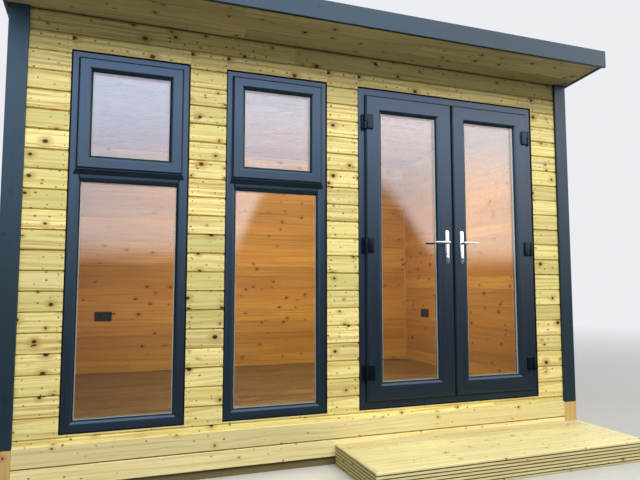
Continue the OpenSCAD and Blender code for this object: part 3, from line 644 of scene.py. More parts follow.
def sloping_boards(name, material, slot, replaced, x0, x1, y0, y1, joint):
    """Boards under the roof that run along X, about one pitch wide, between two places in depth."""
    piece = Piece(name)
    reach = (y1 - y0) / math.cos(ROOF_SLOPE)
    count = round(reach / BOARD_PITCH)
    width = reach / count
    start = roof_point(SOFFIT_T) + down_slope * ((y0 - front_y) / math.cos(ROOF_SLOPE))
    for k in range(count):
        butt = x0 + (x1 - x0) * (0.35 + 0.3 * (k % 2)) + piece.chance.uniform(-0.1, 0.1)
        for left, right in ((x0, butt - 0.5 * MM), (butt, x1)):
            at = Vector((left, 0, 0)) + start + down_slope * (k * width)
            piece.prism(vee(width, SOFFIT_T - 0.2 * MM, joint), at, X, down_slope, -off_slope, right - left)
    piece.finish(material, slot, replaces=(replaced,))


def corner_beads():
    """Quadrant beads that cover the lining's joints in the four corners of the room."""
    piece = Piece("corner_beads")
    outline = [(0, 0), *arc((0, 0), BEAD_R, 0, 90, 5)]
    for side_x, side_y in CORNERS:
        at = Vector((side_x * (room_x - 0.1 * MM), side_y * (room_y - 0.1 * MM), floor_z))
        piece.prism(outline, at, Z, X * -side_x, Y * -side_y, soffit_z - floor_z)
    piece.finish(lacquered_pine, "pine_lining", cuts=under_roof(0))


def reveal_liners():
    """Pine liners of the openings, from the back of the frames to the room."""
    piece = Piece("reveal_liners")
    outline = oblong(0, 0, LINER_T, -room_y - window_high.y)
    for x0, x1 in openings:
        piece.member_ring(outline, x0, x1, sill_z, head_z, window_high.y)
    piece.finish(lacquered_pine, "pine_lining")


def laminate_planks():
    """Laminate planks along the room, 192 mm wide and 1285 mm long, with fine bevels and staggered ends."""
    piece = Piece("laminate_planks")
    plank_w, plank_l = 0.192, 1.285
    y, number = laminate_low.y, 0
    while y < laminate_high.y - MM:
        outline = vee(min(plank_w, laminate_high.y - y), laminate_high.z - laminate_low.z, PLANK_BEVEL)
        x = laminate_low.x - plank_l * (0, 0.62, 0.31)[number % 3]
        while x < laminate_high.x - MM:
            x0, x1 = max(x, laminate_low.x), min(x + plank_l, laminate_high.x)
            if x1 - x0 > MM:
                piece.prism(outline, Vector((x0, y, laminate_low.z)), X, Y, Z, x1 - x0 - 0.3 * MM)
            x += plank_l
        y += plank_w
        number += 1
    piece.finish(laminate_oak, "laminate", replaces=("laminate_floor",))


room_lining()
soffit_low, soffit_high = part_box("front_soffit")
# The soffit boards take the darker softwood that paints the shade under the overhang
sloping_boards("soffit_boards", soffit_softwood_painted_shade, "cladding", "front_soffit",
               soffit_low.x, soffit_high.x, soffit_low.y, soffit_high.y, SOFFIT_JOINT)
sloping_boards("ceiling_boards", lacquered_pine, "pine_lining", "ceiling_lining",
               -frame_in_x, frame_in_x, -frame_in_y, frame_in_y, LINING_JOINT)
corner_beads()
reveal_liners()
laminate_planks()


# Base, trims and roof edge: planed boards with soft edges. Those that a plane cuts off start out too long by:
SPARE = 50 * MM


def boards_of(name, node, material, slot, boards, cuts=(), edge=3 * MM):
    """Planed boards that replace a node: for each its start, direction, width side, outward side, length,
    width and thickness."""
    piece = Piece(name)
    for at, along, across, out, length, width, thickness in boards:
        piece.prism(planed(width, thickness, edge), Vector(at), along, across, out, length)
    piece.finish(material, slot, replaces=(node,), cuts=cuts)


def base():
    """The two base boards of each side, with a dark gap between them, and the corner blocks."""
    board_t, board_h, gap, block_w = 22 * MM, 105 * MM, 7 * MM, 100 * MM
    for name, node, along, out in (("base_boards_front_back", "base_boards_long", X, Y),
                                   ("base_boards_sides", "base_boards_short", Y, X)):
        low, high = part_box(node)
        start, length, inner = along * low.dot(along), (high - low).dot(along), high.dot(out) - board_t
        boards = [(start + out * (side * inner) + Z * z, along, Z, out * side, length, height, board_t)
                  for z, height in ((low.z, board_h - gap), (low.z + board_h, board_h)) for side in SIDES]
        boards_of(name, node, base_softwood, "base_board", boards)
    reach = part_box("corner_blocks")[1]
    inner_x, inner_y = reach.x - block_w, reach.y - block_w
    blocks = [((x * inner_x, y * inner_y, 0), Z, X * x, Y * y, reach.z, block_w, block_w) for x, y in CORNERS]
    boards_of("corner_block_posts", "corner_blocks", block_softwood, "treated_timber", blocks, edge=2 * MM)


def corner_trims():
    """Painted boards on the corners: wide on the face, narrower behind its edge on the side."""
    trim_t, face_w = trim_high.x - half_w, 100 * MM
    bottom, height = trim_low.z, soffit_z + SPARE - trim_low.z
    face = [((x * trim_high.x, y * back_y, bottom), Z, X * -x, Y * y, height, face_w, trim_t)
            for x, y in CORNERS]
    side = [((x * half_w, y * back_y, bottom), Z, Y * -y, X * x, height, face_w - trim_t, trim_t)
            for x, y in CORNERS]
    for name, node, boards in (("wide", "face", face), ("narrow", "side", side)):
        boards_of("corner_trims_" + name, "corner_trims_" + node, painted_softwood, "painted_timber", boards,
                  under_roof(SOFFIT_T), 2 * MM)


def roof_edge():
    """Fascias across the front and the back, and bargeboards down the slope on each side."""
    thickness, drop, rise = 20 * MM, 7 * MM, 109 * MM
    low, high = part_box("fascias")
    barge_low, barge_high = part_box("bargeboards")
    height = high.z - (soffit_z + math.tan(ROOF_SLOPE) * (front_y - low.y - thickness)) + drop
    boards = [((-high.x, low.y + thickness, high.z - height), X, Z, -Y, 2 * high.x, height, thickness),
              ((-barge_high.x, high.y - thickness, low.z), X, Z, Y, 2 * barge_high.x, height, thickness)]
    boards_of("fascia_boards", "fascias", painted_softwood, "painted_timber", boards)
    start = roof_point(-drop) + down_slope * (barge_low.y - front_y - SPARE)
    length = barge_high.y - barge_low.y + 2 * SPARE
    boards = [(start + X * (side * (barge_high.x - thickness)), down_slope, off_slope, X * side, length,
               drop + rise, thickness) for side in SIDES]
    boards_of("barge_boards", "bargeboards", painted_softwood, "painted_timber", boards,
              [(Y * barge_low.y, -Y), (Y * barge_high.y, Y)])


# Step: smooth tread boards between facing boards with a reeded face. A groove's outline is in shares of its
# width and depth.
GROOVES, GROOVE_W, GROOVE_D, GROOVE_PITCH, FIRST_GROOVE = 6, 8.5 * MM, 11 * MM, 19 * MM, 16 * MM
GROOVE = [(-0.5, 0), (-0.46, 0.6), (-0.3, 0.92), (0, 1), (0.3, 0.92), (0.46, 0.6), (0.5, 0)]


def step():
    """The facing boards rise to the top of the step and are mitred at its front corners."""
    top_low, top_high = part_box("step_top_boards")
    facing_low, facing_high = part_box("step_facing_boards")
    thickness, joint, edge = 27 * MM, 0.5 * MM, 3 * MM
    height = top_high.z
    inner_y = facing_low.y + thickness
    middle_x, inner_half = (facing_low.x + facing_high.x) / 2, (facing_high.x - facing_low.x) / 2 - thickness

    def face(piece, outline):
        """Runs an outline of outward and upward places along the front and the two ends."""
        piece.prism(outline, Vector((middle_x - inner_half, inner_y, 0)), X, -Y, Z, 2 * inner_half, (-1, -1),
                    edge_on=True)
        for side in SIDES:
            at = Vector((middle_x + side * inner_half, facing_high.y, 0))
            piece.prism(outline, at, -Y, X * side, Z, facing_high.y - inner_y - joint, (0, -1), edge_on=True)

    grooves_z = [height - FIRST_GROOVE - GROOVE_PITCH * k for k in range(GROOVES)]
    reeds = [(0, 0), (thickness - edge, 0), (thickness, edge)]
    for z in reversed(grooves_z):
        reeds += [(thickness - GROOVE_D * d, z + GROOVE_W * w) for w, d in GROOVE]
    facings = Piece("step_reeded_facing")
    face(facings, reeds + [*arc((thickness - edge, height - edge), edge, 0, 90), (0, height)])
    facings.finish(step_softwood, "step_timber", replaces=("step_facing_boards",))
    # Dark strips deep in each groove: painted shade, with some damp dirt
    groove_shade_strips = Piece("step_groove_grime")
    half, deep, shallow = 0.4 * GROOVE_W, thickness - GROOVE_D + 0.3 * MM, thickness - 0.4 * GROOVE_D
    for z in grooves_z:
        face(groove_shade_strips, [(deep, z - 0.5 * half), (shallow, z - half), (shallow, z + half), (deep, z + 0.5 * half)])
    groove_shade_strips.finish(groove_grime, "step_timber")

    count, gap = 4, 5 * MM
    start_y = inner_y + joint
    width = (top_high.y - start_y - (count - 1) * gap) / count
    boards = [((middle_x - inner_half + joint, start_y + k * (width + gap), top_low.z), X, Y, Z,
               2 * (inner_half - joint), width, top_high.z - top_low.z) for k in range(count)]
    boards_of("step_tread_boards", "step_top_boards", step_softwood, "step_timber", boards)


base()
corner_trims()
roof_edge()
step()

# Glazing: two panes on a spacer bar, held between black seals
PANE_T, UNIT_T, BITE = 4 * MM, 24 * MM, 9 * MM
SEAL_W, SEAL_T, SEAL_GAP = 3 * MM, 1.4 * MM, 0.1 * MM


def glass_unit(name, body, x0, x1, z0, z1, y, replaces):
    """A double-glazed unit behind a visible opening, with its front face at y."""
    panes = Piece(name + "_panes")
    for front in (y, y + UNIT_T - PANE_T):
        panes.prism(oblong(0, 0, x1 - x0 + 2 * BITE, z1 - z0 + 2 * BITE), Vector((x0 - BITE, front, z0 - BITE)),
                    Y, X, Z, PANE_T)
    panes.finish(glass, "glazing", body, replaces)
    bar = Piece(name + "_spacer")
    inset, front_show, back_show = BITE - 2 * MM, 8 * MM, 1 * MM
    outline = [(0, PANE_T), (inset + front_show, PANE_T), (inset + back_show, UNIT_T - PANE_T),
               (0, UNIT_T - PANE_T)]
    bar.member_ring(outline, x0 - inset, x1 + inset, z0 - inset, z1 + inset, y, 0)
    bar.finish(spacer_aluminium, "glazing", body)
    seal = Piece(name + "_seal")
    outline = [(-MM, 0), (SEAL_W - 0.5 * MM, 0), (SEAL_W, 0.5 * SEAL_T), (SEAL_W, SEAL_T), (-MM, SEAL_T)]
    for front in (y - SEAL_GAP - SEAL_T, y + UNIT_T + SEAL_GAP):
        seal.member_ring(outline, x0, x1, z0, z1, front, 0)
    seal.finish(seal_rubber, "upvc", body)


# The bead's front as shares of its width and depth: it starts 12 degrees off the face and ends at 72
BEAD_TURNS = [math.radians(t) for t in (12, 24, 36, 48, 60, 72)]
BEAD_CURVE = [((math.sin(t) - math.sin(BEAD_TURNS[0])) / (math.sin(BEAD_TURNS[-1]) - math.sin(BEAD_TURNS[0])),
               (math.cos(BEAD_TURNS[0]) - math.cos(t)) / (math.cos(BEAD_TURNS[0]) - math.cos(BEAD_TURNS[-1])))
              for t in BEAD_TURNS]


def glazed_profile(edge, face, slope_w, slope_d, depth_all, flange=None, over=0.0):
    """A member that holds glass, as points inwards from its outer edge and back from its front face: bevelled
    outer edge, flat face, round to the glass, groove, inner bead.

    flange is the depth of an outer lip that reaches over by `over` in front of the body behind it.
    """
    groove_w = BITE + 0.5 * MM
    groove_end = slope_d + UNIT_T + MM
    round_to_glass = [(face - 0.5 * MM + slope_w * (u - 1), slope_d * v) for u, v in BEAD_CURVE]
    points = [(0, flange or depth_all), (0, edge), (edge, 0), *round_to_glass,
              (face, slope_d), (face - groove_w, slope_d), (face - groove_w, groove_end), (face, groove_end),
              (face, groove_end + 2 * MM), (face - 8 * MM, depth_all - 3 * MM), (face - 12 * MM, depth_all)]
    if flange:
        points += [(over, depth_all), (over, flange)]
    return eased(points)


# Widths of the members to the glass, and how wide and deep each runs round to it
WIN_FACE, WIN_SLOPE_W, WIN_SLOPE_D = 64 * MM, 20 * MM, 14 * MM
SASH_FACE, LEAF_FACE, LEAF_SLOPE_W, LEAF_SLOPE_D = 74 * MM, 113 * MM, 18 * MM, 17 * MM
EDGE_BEVEL = 10 * MM
MEETING_SHIFT = 10 * MM
SASH_REVEAL = 38 * MM
FRAME_D = window_high.y - window_low.y
FIXED_TOP = sill_z + 1.364
TRANSOM_H = 92 * MM
frame_y = window_low.y
finish_profiles = partial(Piece.finish, material=upvc_foil, slot="upvc", smooth=15)


def window_frames():
    """The outer frame of each window and the transom between its fixed light and its vent."""
    frames, transoms = Piece("window_outer_frames"), Piece("window_transoms")
    profile = glazed_profile(2 * MM, WIN_FACE, WIN_SLOPE_W, WIN_SLOPE_D, FRAME_D)
    transom = [(-TRANSOM_H, FRAME_D), (-TRANSOM_H, 0)] + [(u - WIN_FACE, v) for u, v in profile if u > 30 * MM]
    for x in windows:
        frames.member_ring(profile, x, x + WINDOW_W, sill_z, head_z, frame_y)
        transoms.prism(transom, Vector((x + WIN_FACE - 4 * MM, frame_y + 0.3 * MM, FIXED_TOP)), X, -Z, Y,
                       WINDOW_W - 2 * WIN_FACE + 8 * MM)
    finish_profiles(frames, replaces=("window_frames",))
    finish_profiles(transoms)


def vent_sashes():
    """The top-hung sashes, and under each a drip strip that slopes back and widens on its way down."""
    sashes, drips = Piece("vent_sash_frames"), Piece("vent_drip_strips")
    profile = glazed_profile(EDGE_BEVEL, SASH_FACE, LEAF_SLOPE_W, LEAF_SLOPE_D, 66 * MM, flange=19.5 * MM,
                             over=29 * MM)
    drip_h, drip_out, flare = 30 * MM, 17 * MM, 0.4
    drip = [(0.2 * MM, 0), (0.2 * MM, drip_out), (2 * MM, drip_out), (drip_h, 1.5 * MM), (drip_h, 0)]
    for x in windows:
        x0, x1 = x + SASH_REVEAL, x + WINDOW_W - SASH_REVEAL
        sashes.member_ring(profile, x0, x1, sash_low.z, sash_high.z, sash_low.y)
        drips.prism(drip, Vector((x0, frame_y, sash_low.z)), X, -Z, -Y, x1 - x0, (-flare, -flare))
    finish_profiles(sashes, replaces=("vent_sashes",))
    finish_profiles(drips)


def window_glass():
    """A glass unit in each fixed light and each vent."""
    edge = SASH_REVEAL + SASH_FACE
    for number, x in enumerate(windows, 1):
        glass_unit(f"window_{number}_fixed", "pod", x + WIN_FACE, x + WINDOW_W - WIN_FACE, sill_z + WIN_FACE,
                   FIXED_TOP, frame_y + WIN_SLOPE_D, ("window_glass",))
        glass_unit(f"window_{number}_vent", "pod", x + edge, x + WINDOW_W - edge, sash_low.z + SASH_FACE,
                   sash_high.z - SASH_FACE, sash_low.y + LEAF_SLOPE_D, ())


def door_frame():
    """The frame with its rebate and stop, and the rubber seal that the leaves close on."""
    opening = (door_low.x, door_high.x, door_low.z, door_high.z, door_low.y)
    rebate, stop, stop_back, edge = 69 * MM, 84 * MM, 50 * MM, 1.5 * MM
    profile = [(0, FRAME_D), (0, edge), (0.5 * edge, 0.4 * edge), (edge, 0), (rebate - MM, 0), (rebate, MM),
               (rebate, stop_back), (stop - MM, stop_back), (stop, stop_back + MM), (stop, FRAME_D)]
    outer = Piece("door_outer_frame")
    outer.member_ring(profile, *opening)
    finish_profiles(outer, replaces=("door_frame",))
    seal = Piece("door_frame_seal")
    seal.member_ring(oblong(rebate - 12 * MM, 0, rebate - 3 * MM, -4.2 * MM), *opening)
    seal.finish(seal_rubber, "upvc")


def door_leaf(side):
    """A leaf and its glass. The leaves meet to the right of the middle, so their meeting stiles differ."""
    low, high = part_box(side + "_leaf")
    left = side == "left"
    stiles = (LEAF_FACE, LEAF_FACE + MEETING_SHIFT) if left else (LEAF_FACE - MEETING_SHIFT, LEAF_FACE)
    leaf = Piece(side + "_leaf_members")
    profile = glazed_profile(EDGE_BEVEL, LEAF_FACE, LEAF_SLOPE_W, LEAF_SLOPE_D, high.y - low.y, flange=17 * MM,
                             over=22 * MM)
    leaf.member_ring(profile, low.x, high.x, low.z, high.z, low.y,
                     shares=(1, stiles[1] / LEAF_FACE, 1, stiles[0] / LEAF_FACE))
    finish_profiles(leaf, body=side + "_door", replaces=(side + "_leaf",))
    # A rubber strip on each meeting edge, so that the gap between the leaves looks dark
    meeting_x, into_gap = (high.x, X) if left else (low.x, -X)
    strip = Piece(side + "_meeting_seal")
    outline = [(-0.5 * MM, 0), (3.2 * MM, 2 * MM), (3.2 * MM, 9 * MM), (-0.5 * MM, 11 * MM)]
    strip.prism(outline, Vector((meeting_x, low.y + 5 * MM, low.z + 2 * MM)), Z, into_gap, Y,
                high.z - low.z - 4 * MM)
    strip.finish(seal_rubber, "upvc", side + "_door")
    glass_unit(side + "_door", side + "_door", low.x + stiles[0], high.x - stiles[1], low.z + LEAF_FACE,
               high.z - LEAF_FACE, low.y + LEAF_SLOPE_D, (side + "_door_glass",))


def sealant_beads():
    """Black sealant in the corner between each frame and the cladding it stands in, also painting the gap's
    shadow.
    """
    beads = Piece("frame_sealant_beads")
    width, rise, lap = 8 * MM, frame_y - front_y - MM, 0.5 * MM
    outline = [(-lap, 0), (width, 0), (0.6 * width, -0.2 * rise), (0.25 * width, -0.6 * rise), (-lap, -rise)]
    for x0, x1 in openings:
        beads.member_ring(outline, x0, x1, sill_z, head_z, frame_y - 0.1 * MM, 0)
    beads.finish(sealant_and_gap_shade, "upvc")


sealant_beads()
window_frames()
vent_sashes()
window_glass()
door_frame()
door_leaf("left")
door_leaf("right")


# Ironmongery. An outline with an inset is drawn in by it all round.
def stadium(width, height, inset, steps=10):
    """A round-ended outline with its middle at 0."""
    r = width / 2 - inset
    half = height / 2 - width / 2
    return arc((0, half), r, 0, 180, steps) + arc((0, -half), r, 180, 360, steps)


def soft_box(width, height, corner, inset, steps=5):
    """A rectangle with round corners and its middle at 0."""
    r = max(corner - inset, 0.3 * MM)
    half_u, half_v = width / 2 - inset - r, height / 2 - inset - r
    points = []
    for sign_u, sign_v, start in ((1, 1, 0), (-1, 1, 90), (-1, -1, 180), (1, -1, 270)):
        points += arc((sign_u * half_u, sign_v * half_v), r, start, start + 90, steps)
    return points


def pillow(piece, shape, at, out, thickness, edge, across=X, turns=(22, 45, 68, 90)):
    """A plate of an upright shape that stands out from a face, with an edge rounded at some angles."""
    levels = [(0, 0), (0, thickness - edge)]
    for a in map(math.radians, turns):
        levels.append((edge * (1 - math.cos(a)), thickness - edge + edge * math.sin(a)))
    piece.loft([[at + across * u + Z * v + out * h for u, v in shape(inset)] for inset, h in levels])


LEVER_Z, LEVER_IN = 1.389, 54 * MM
PLATE_UP, PLATE_T = 29 * MM, 10 * MM
LEVER_OUT, LEVER_L, BEND_R = 46 * MM, 112 * MM, 10 * MM
BACKPLATE = partial(stadium, 28 * MM, 226 * MM)
CYLINDER, CYLINDER_Z, CYLINDER_T = partial(stadium, 17 * MM, 31 * MM), LEVER_Z - 99 * MM, PLATE_T + 2.5 * MM
KEYWAY, KEYWAY_Z = partial(soft_box, 1.8 * MM, 9 * MM, 0.8 * MM), LEVER_Z - 92 * MM
COLLAR = [(12.5 * MM, PLATE_T - MM), (12.5 * MM, PLATE_T + 2 * MM), (11 * MM, PLATE_T + 3.5 * MM),
          (9 * MM, PLATE_T + 4 * MM)]


def tube(piece, path, sizes, steps=14):
    """Sweeps an oval along a path in a level plane. sizes are (across, up) radii at each point."""
    rings = []
    for k, (point, (across_r, up_r)) in enumerate(zip(path, sizes)):
        side = (path[min(k + 1, len(path) - 1)] - path[max(k - 1, 0)]).normalized().cross(Z)
        rings.append([point + side * (across_r * math.cos(a)) + Z * (up_r * math.sin(a))
                      for a in (math.tau * i / steps for i in range(steps))])
    piece.loft(rings)


def lever(piece, neck, out, away):
    """A lever that comes out of its collar, bends away and tapers to a rounded tip."""
    path = [neck + out * (PLATE_T + 3 * MM), neck + out * (LEVER_OUT - BEND_R)]
    sizes = [(8.5 * MM, 8.5 * MM), (8 * MM, 8 * MM)]
    centre = neck + out * (LEVER_OUT - BEND_R) + away * BEND_R
    for t in (22, 45, 68, 90):
        a = math.radians(t)
        path.append(centre - away * (BEND_R * math.cos(a)) + out * (BEND_R * math.sin(a)))
        sizes.append((8 * MM - t / 90 * 1.2 * MM, 8 * MM))
    for s in (0.3, 0.5, 0.7, 0.85, 0.94, 0.985, 1.0):
        bow = LEVER_OUT + 2 * MM * math.sin(math.pi * s)
        path.append(neck + out * bow + away * (BEND_R + s * (LEVER_L - BEND_R)))
        tip = math.sqrt(max(1 - max(0, (s - 0.94) / 0.06) ** 2, 0.02))
        sizes.append(((6.8 - 1.8 * s) * MM * tip, (8 - 2.2 * s) * MM * tip))
    tube(piece, path, sizes)


def handle_set(side):
    """Backplates, lock cylinder and levers of one leaf, outside and inside."""
    low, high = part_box(side + "_leaf")
    away = -X if side == "left" else X
    lever_x = (high.x if side == "left" else low.x) + away.x * LEVER_IN
    plates, keyways, levers = (Piece(side + part) for part in ("_backplates", "_keyways", "_lever_pair"))
    for face_y, out in ((low.y, -Y), (high.y, Y)):
        neck = Vector((lever_x, face_y, LEVER_Z))
        pillow(plates, BACKPLATE, neck - Z * PLATE_UP, out, PLATE_T, 3.5 * MM)
        pillow(plates, CYLINDER, Vector((lever_x, face_y, CYLINDER_Z)), out, CYLINDER_T, MM)
        # The keyway is a near-black plate: painted shade for the hole in the cylinder
        pillow(keyways, KEYWAY, Vector((lever_x, face_y, KEYWAY_Z)) + out * (CYLINDER_T - 0.3 * MM), out,
               0.6 * MM, 0.1 * MM)
        plates.turned(neck, X, Z, out, COLLAR, 24)
        lever(levers, neck, out, away)
    plates.finish(polished_chrome, "handle_chrome", side + "_door", (side + "_handle_plates",))
    keyways.finish(opening_painted_shade, "handle_chrome", side + "_door")
    levers.finish(polished_chrome, "handle_chrome", side + "_handle", (side + "_lever",), smooth=60)


HINGE_H, BARREL_R, BARREL_END = 100 * MM, 8.5 * MM, 2 * MM
BLOCK_W, FLAG_W, FLAG_T, FLAG_START = 20 * MM, 46 * MM, 11 * MM, 12 * MM
BLOCK, FLAG = partial(soft_box, BLOCK_W, HINGE_H, 3 * MM), partial(soft_box, FLAG_W, HINGE_H, 8 * MM)


def hinge_set(side):
    """Three flag hinges: blocks on the frame, flags on the leaf, and the two halves of each barrel."""
    axis = Vector(next(j for j in frame["joints"] if j["name"] == side + "_door_hinge")["pos_m"])
    inwards = X if side == "left" else -X
    flag_low, flag_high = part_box(side + "_hinge_flags")
    leaf_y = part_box(side + "_leaf")[0].y
    blocks, flags = Piece(side + "_hinge_bodies"), Piece(side + "_hinge_wings")
    half = HINGE_H / 2
    for z in (flag_low.z + half, axis.z, flag_high.z - half):
        for piece, z0, z1 in ((blocks, z - half, z - 0.3 * MM), (flags, z + 0.3 * MM, z + half)):
            levels = [(BARREL_R - 1.5 * MM, z0), (BARREL_R, z0 + BARREL_END), (BARREL_R, z1 - BARREL_END),
                      (BARREL_R - 1.5 * MM, z1)]
            piece.turned(Vector((axis.x, axis.y, 0)), X, Y, Z, levels, 28)
        at = Vector((axis.x, door_low.y, z)) - inwards * (BLOCK_W / 2)
        pillow(blocks, BLOCK, at, -Y, door_low.y - axis.y - 10.5 * MM, 2.5 * MM)
        web = oblong(0, -0.8 * BARREL_R, 0.9 * BARREL_R, 12 * MM)
        blocks.prism(web, Vector((axis.x, axis.y, z - half + 2 * MM)), Z, -inwards, Y, half - 4 * MM)
        at = Vector((axis.x, leaf_y, z)) + inwards * (FLAG_START + FLAG_W / 2)
        pillow(flags, FLAG, at, -Y, FLAG_T, 6 * MM)
        arm = oblong(0, -4.5 * MM, 16 * MM, 5.5 * MM)
        flags.prism(arm, Vector((axis.x, axis.y, z + 2 * MM)), Z, inwards, Y, half - 4 * MM)
    blocks.finish(powder_coat, "hinge_coating", "pod", (side + "_hinge_blocks",))
    flags.finish(powder_coat, "hinge_coating", side + "_door", (side + "_hinge_flags",))


for side in ("left", "right"):
    handle_set(side)
    hinge_set(side)


def sockets():
    """Double sockets: a plate with soft edges, two switched outlets with their slots and rockers."""
    low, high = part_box("wall_sockets")
    width, height = 147 * MM, 86 * MM
    plates, faces, slots = Piece("socket_plates"), Piece("socket_faces"), Piece("socket_slots")
    # Each part's piece, its place and size, how far out it starts, its thickness, corner and chamfer, in mm
    parts = [(plates, 0, 0, width / MM, height / MM, 0, 7, 4, 1.5)]
    # The slots are near-black plates: painted shade for the holes in the outlets
    for sign in SIDES:
        parts += [(faces, sign * 36, -6, 52, 50, 6.5, 1.5, 2, 0.5),
                  (faces, sign * 12, 27, 12, 20, 6.5, 2.4, 1.5, 0.8),
                  (slots, sign * 36, 8, 4, 8, 7.5, 0.7, 0.4, 0.1)]
        parts += [(slots, sign * 36 + u, -14, 6.5, 4, 7.5, 0.7, 0.4, 0.1) for u in (-11, 11)]
    middle_z = (low.z + high.z) / 2
    for middle, across, out in ((Vector((low.x + width / 2, room_y, middle_z)), X, -Y),
                                (Vector((room_x, low.y + width / 2, middle_z)), -Y, -X)):
        for piece, *sizes in parts:
            u, v, w, h, base, thickness, corner, chamfer = (size * MM for size in sizes)
            pillow(piece, partial(soft_box, w, h, corner), middle + across * u + Z * v + out * base, out,
                   thickness, chamfer, across, (90,))
    plates.finish(black_nickel, "socket_plastic", replaces=("wall_sockets",))
    faces.finish(socket_moulding, "socket_plastic")
    slots.finish(opening_painted_shade, "socket_plastic")


sockets()

# Finishes of the construction that stays
KEPT = {
    # Bearers and joists take the darker sawn timber: treatment and damp, and painted shade
    "base_bearers": sawn_bearers_painted_shade["X"], "floor_joists": sawn_bearers_painted_shade["Y"], "step_bearers": sawn_bearers_painted_shade["Y"],
    "front_wall_piers": sawn_frame["Z"], "front_wall_rails": sawn_frame["X"], "back_wall": sawn_frame["X"],
    "left_wall": sawn_frame["Y"], "right_wall": sawn_frame["Y"], "roof_joists": sawn_frame["Y"],
    "floor_deck": strand, "roof_deck": strand, "roof_membrane": roof_rubber,
}
for node, material in KEPT.items():
    mesh = frame["nodes"][node].data
    mesh.materials.clear()
    mesh.materials.append(material)

# Floor, world and lamps
BACKGROUND = "#eceef2"


def shown_rays(tree):
    """1 for the rays that show a thing: from the camera, mirrored in gloss or through glass."""
    path = add(tree, "LightPath")
    seen = add(tree, "Math", (path["Is Camera Ray"], path["Is Glossy Ray"]), operation="MAXIMUM")[0]
    return add(tree, "Math", (seen, path["Is Transmission Ray"]), operation="MAXIMUM")[0]


def stage_sheet(name, material, corners, faces):
    """A sheet of the studio that isn't part of the pod."""
    mesh = bpy.data.meshes.new(name)
    mesh.from_pydata(corners, [], faces)
    mesh.materials.append(material)
    sheet = new_object(name, mesh)
    return sheet


def stage_floor():
    """A pale floor that throws back as much light as open ground does, and fades into the background."""
    material, tree, shader = new_material("pale_floor")
    shown = shown_rays(tree)
    colour = add(tree, "Mix", {0: shown, UNDER: "#686a6c", OVER: "#cdcdcb"}, **COLOURS)[MIXED]
    fill(shader, {"Base Color": colour, "Roughness": 0.9, "Specular IOR Level": 0.0})
    away = add(tree, "VectorMath", (add(tree, "TexCoord")["Object"],), operation="LENGTH")["Value"]
    fade = add(tree, "MapRange", (away, 3.0, 14.0), **SMOOTH)[0]
    fade = add(tree, "Math", (fade, shown), **TIMES)[0]
    far = add(tree, "Emission", {"Color": BACKGROUND})[0]
    both = add(tree, "MixShader", (fade, shader.outputs[0], far))[0]
    fill(tree.nodes["Material Output"], {"Surface": both})
    reach = 40
    corners = [(x, y, -MM) for x, y in oblong(-reach, -reach, reach, reach)]
    stage_sheet("floor", material, corners, [(0, 1, 2, 3)])


# The upright sheets stand along the left and the front, and the strip of ground ends in front of the step
SHEETS_LEFT, SHEETS_RIGHT, SHEETS_FRONT, SHEETS_BACK, SHEETS_TOP = -7, 16, -5.4, 3, 7.5
STRIP_END, STRIP_Z = -1.95, 4 * MM


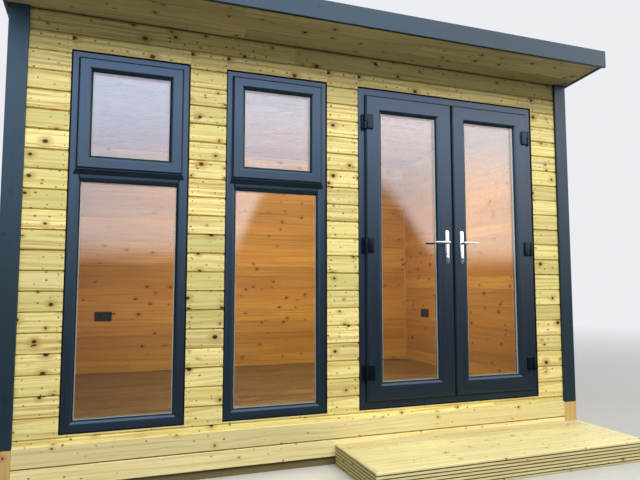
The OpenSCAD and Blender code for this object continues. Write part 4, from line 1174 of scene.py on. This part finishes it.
def mirrored_surroundings():
    """Upright sheets in front and on the left and a strip of ground, all seen only in gloss and glass.

    They are dark low down, like the ground and hedges before a garden building, and sky-bright above. The
    dark part reaches higher on the left and towards the middle.
    """
    material, tree, shader = new_material("mirrored_surroundings")
    place = add(tree, "SeparateXYZ", (add(tree, "TexCoord")["Object"],))
    hedge = add(tree, "MapRange", (place[0], -5, -7, 0, 4.2))[0]
    height = add(tree, "Math", (place[2], hedge), operation="SUBTRACT")[0]
    middle = add(tree, "MapRange", (place[0], 0.1, 0.8, 0, -1.1), **SMOOTH)[0]
    middle_end = add(tree, "MapRange", (place[0], 3.5, 2.3), **SMOOTH)[0]
    near = add(tree, "Math", (middle, middle_end, height), **TIMES_PLUS)[0]
    ground = add(tree, "MapRange", (near, -1.0, 1.0, 0.06, 0.22))[0]
    near_sky = add(tree, "MapRange", (near, 1.3, 1.8, ground, 2.9), **SMOOTH)[0]
    high_sky = add(tree, "MapRange", (height, 2.2, 3.7, 0, 2.2), **SMOOTH)[0]
    strength = add(tree, "Math", (near_sky, high_sky), operation="ADD")[0]
    # The sky is pinker low down and towards the right
    low_down = add(tree, "MapRange", (height, 3.2, 1.8, 0, 0.7))[0]
    rightwards = add(tree, "MapRange", (place[0], -1, 5))[0]
    pink = add(tree, "Math", (low_down, rightwards), operation="MAXIMUM")[0]
    colour = add(tree, "Mix", {0: pink, UNDER: "#d2e2ff", OVER: "#efe4e4"}, **COLOURS)[MIXED]
    light = add(tree, "Emission", {"Color": colour, "Strength": strength})[0]
    mirrored = add(tree, "Math", (add(tree, "LightPath")["Glossy Depth"], 0.5), operation="GREATER_THAN")[0]
    clear = add(tree, "BsdfTransparent")[0]
    both = add(tree, "MixShader", (mirrored, clear, light))[0]
    fill(tree.nodes["Material Output"], {"Surface": both})
    tree.nodes.remove(shader)
    plan = [(SHEETS_LEFT, SHEETS_BACK), (SHEETS_LEFT, SHEETS_FRONT), (SHEETS_RIGHT, SHEETS_FRONT)]
    corners = [(x, y, z) for z in (0, SHEETS_TOP) for x, y in plan]
    corners += [(x, y, STRIP_Z) for x, y in oblong(SHEETS_LEFT, STRIP_END, SHEETS_RIGHT, SHEETS_FRONT)]
    sheet = stage_sheet("mirrored_surroundings", material, corners, [(0, 1, 4, 3), (1, 2, 5, 4), (6, 9, 8, 7)])
    sheet.visible_camera = sheet.visible_diffuse = sheet.visible_shadow = False


def world_light():
    """Even daylight, and a pale background for what the camera, gloss and glass show."""
    world = bpy.data.worlds.new("studio")
    bpy.context.scene.world = world
    world.use_nodes = True
    tree = world.node_tree
    light = tree.nodes["Background"]
    fill(light, {"Color": "#f3f6ff", "Strength": 0.35})
    shown = add(tree, "Background", {"Color": BACKGROUND, "Strength": 1.0})[0]
    both = add(tree, "MixShader", (shown_rays(tree), light.outputs[0], shown))[0]
    fill(tree.nodes["World Output"], {"Surface": both})


def area_lamp(name, at, target, size, radiance, colour):
    """A soft rectangular lamp of even brightness, aimed at a point."""
    data = bpy.data.lights.new(name, "AREA")
    data.shape = "RECTANGLE"
    data.size, data.size_y = size
    data.energy = radiance * math.pi * size[0] * size[1]
    data.color = linear(colour)[:3]
    lamp = new_object(name, data)
    lamp.location = at
    lamp.rotation_euler = (Vector(target) - Vector(at)).to_track_quat("-Z", "Y").to_euler()
    lamp.visible_camera = lamp.visible_transmission = False
    return lamp


stage_floor()
mirrored_surroundings()
world_light()
# The main light stands high in front, so that the overhang shades the top of the wall
area_lamp("front_light", (0.4, -7.3, 7.2), (0, -1.2, 0.9), (9, 5), 6.1, "#fffdf6")
for side, x in (("left", -7.5), ("right", 7.5)):
    area_lamp("back_light_" + side, (x, 6.5, 6.0), (0, 0, 1.2), (5, 5), 3.0, "#fdfdff")
room_lamp = area_lamp("room_light", (0.2, -0.5, 2.3), (0.2, 0.3, 0), (2.0, 0.8), 12.3, "#ffdfb2")
room_lamp.visible_glossy = False
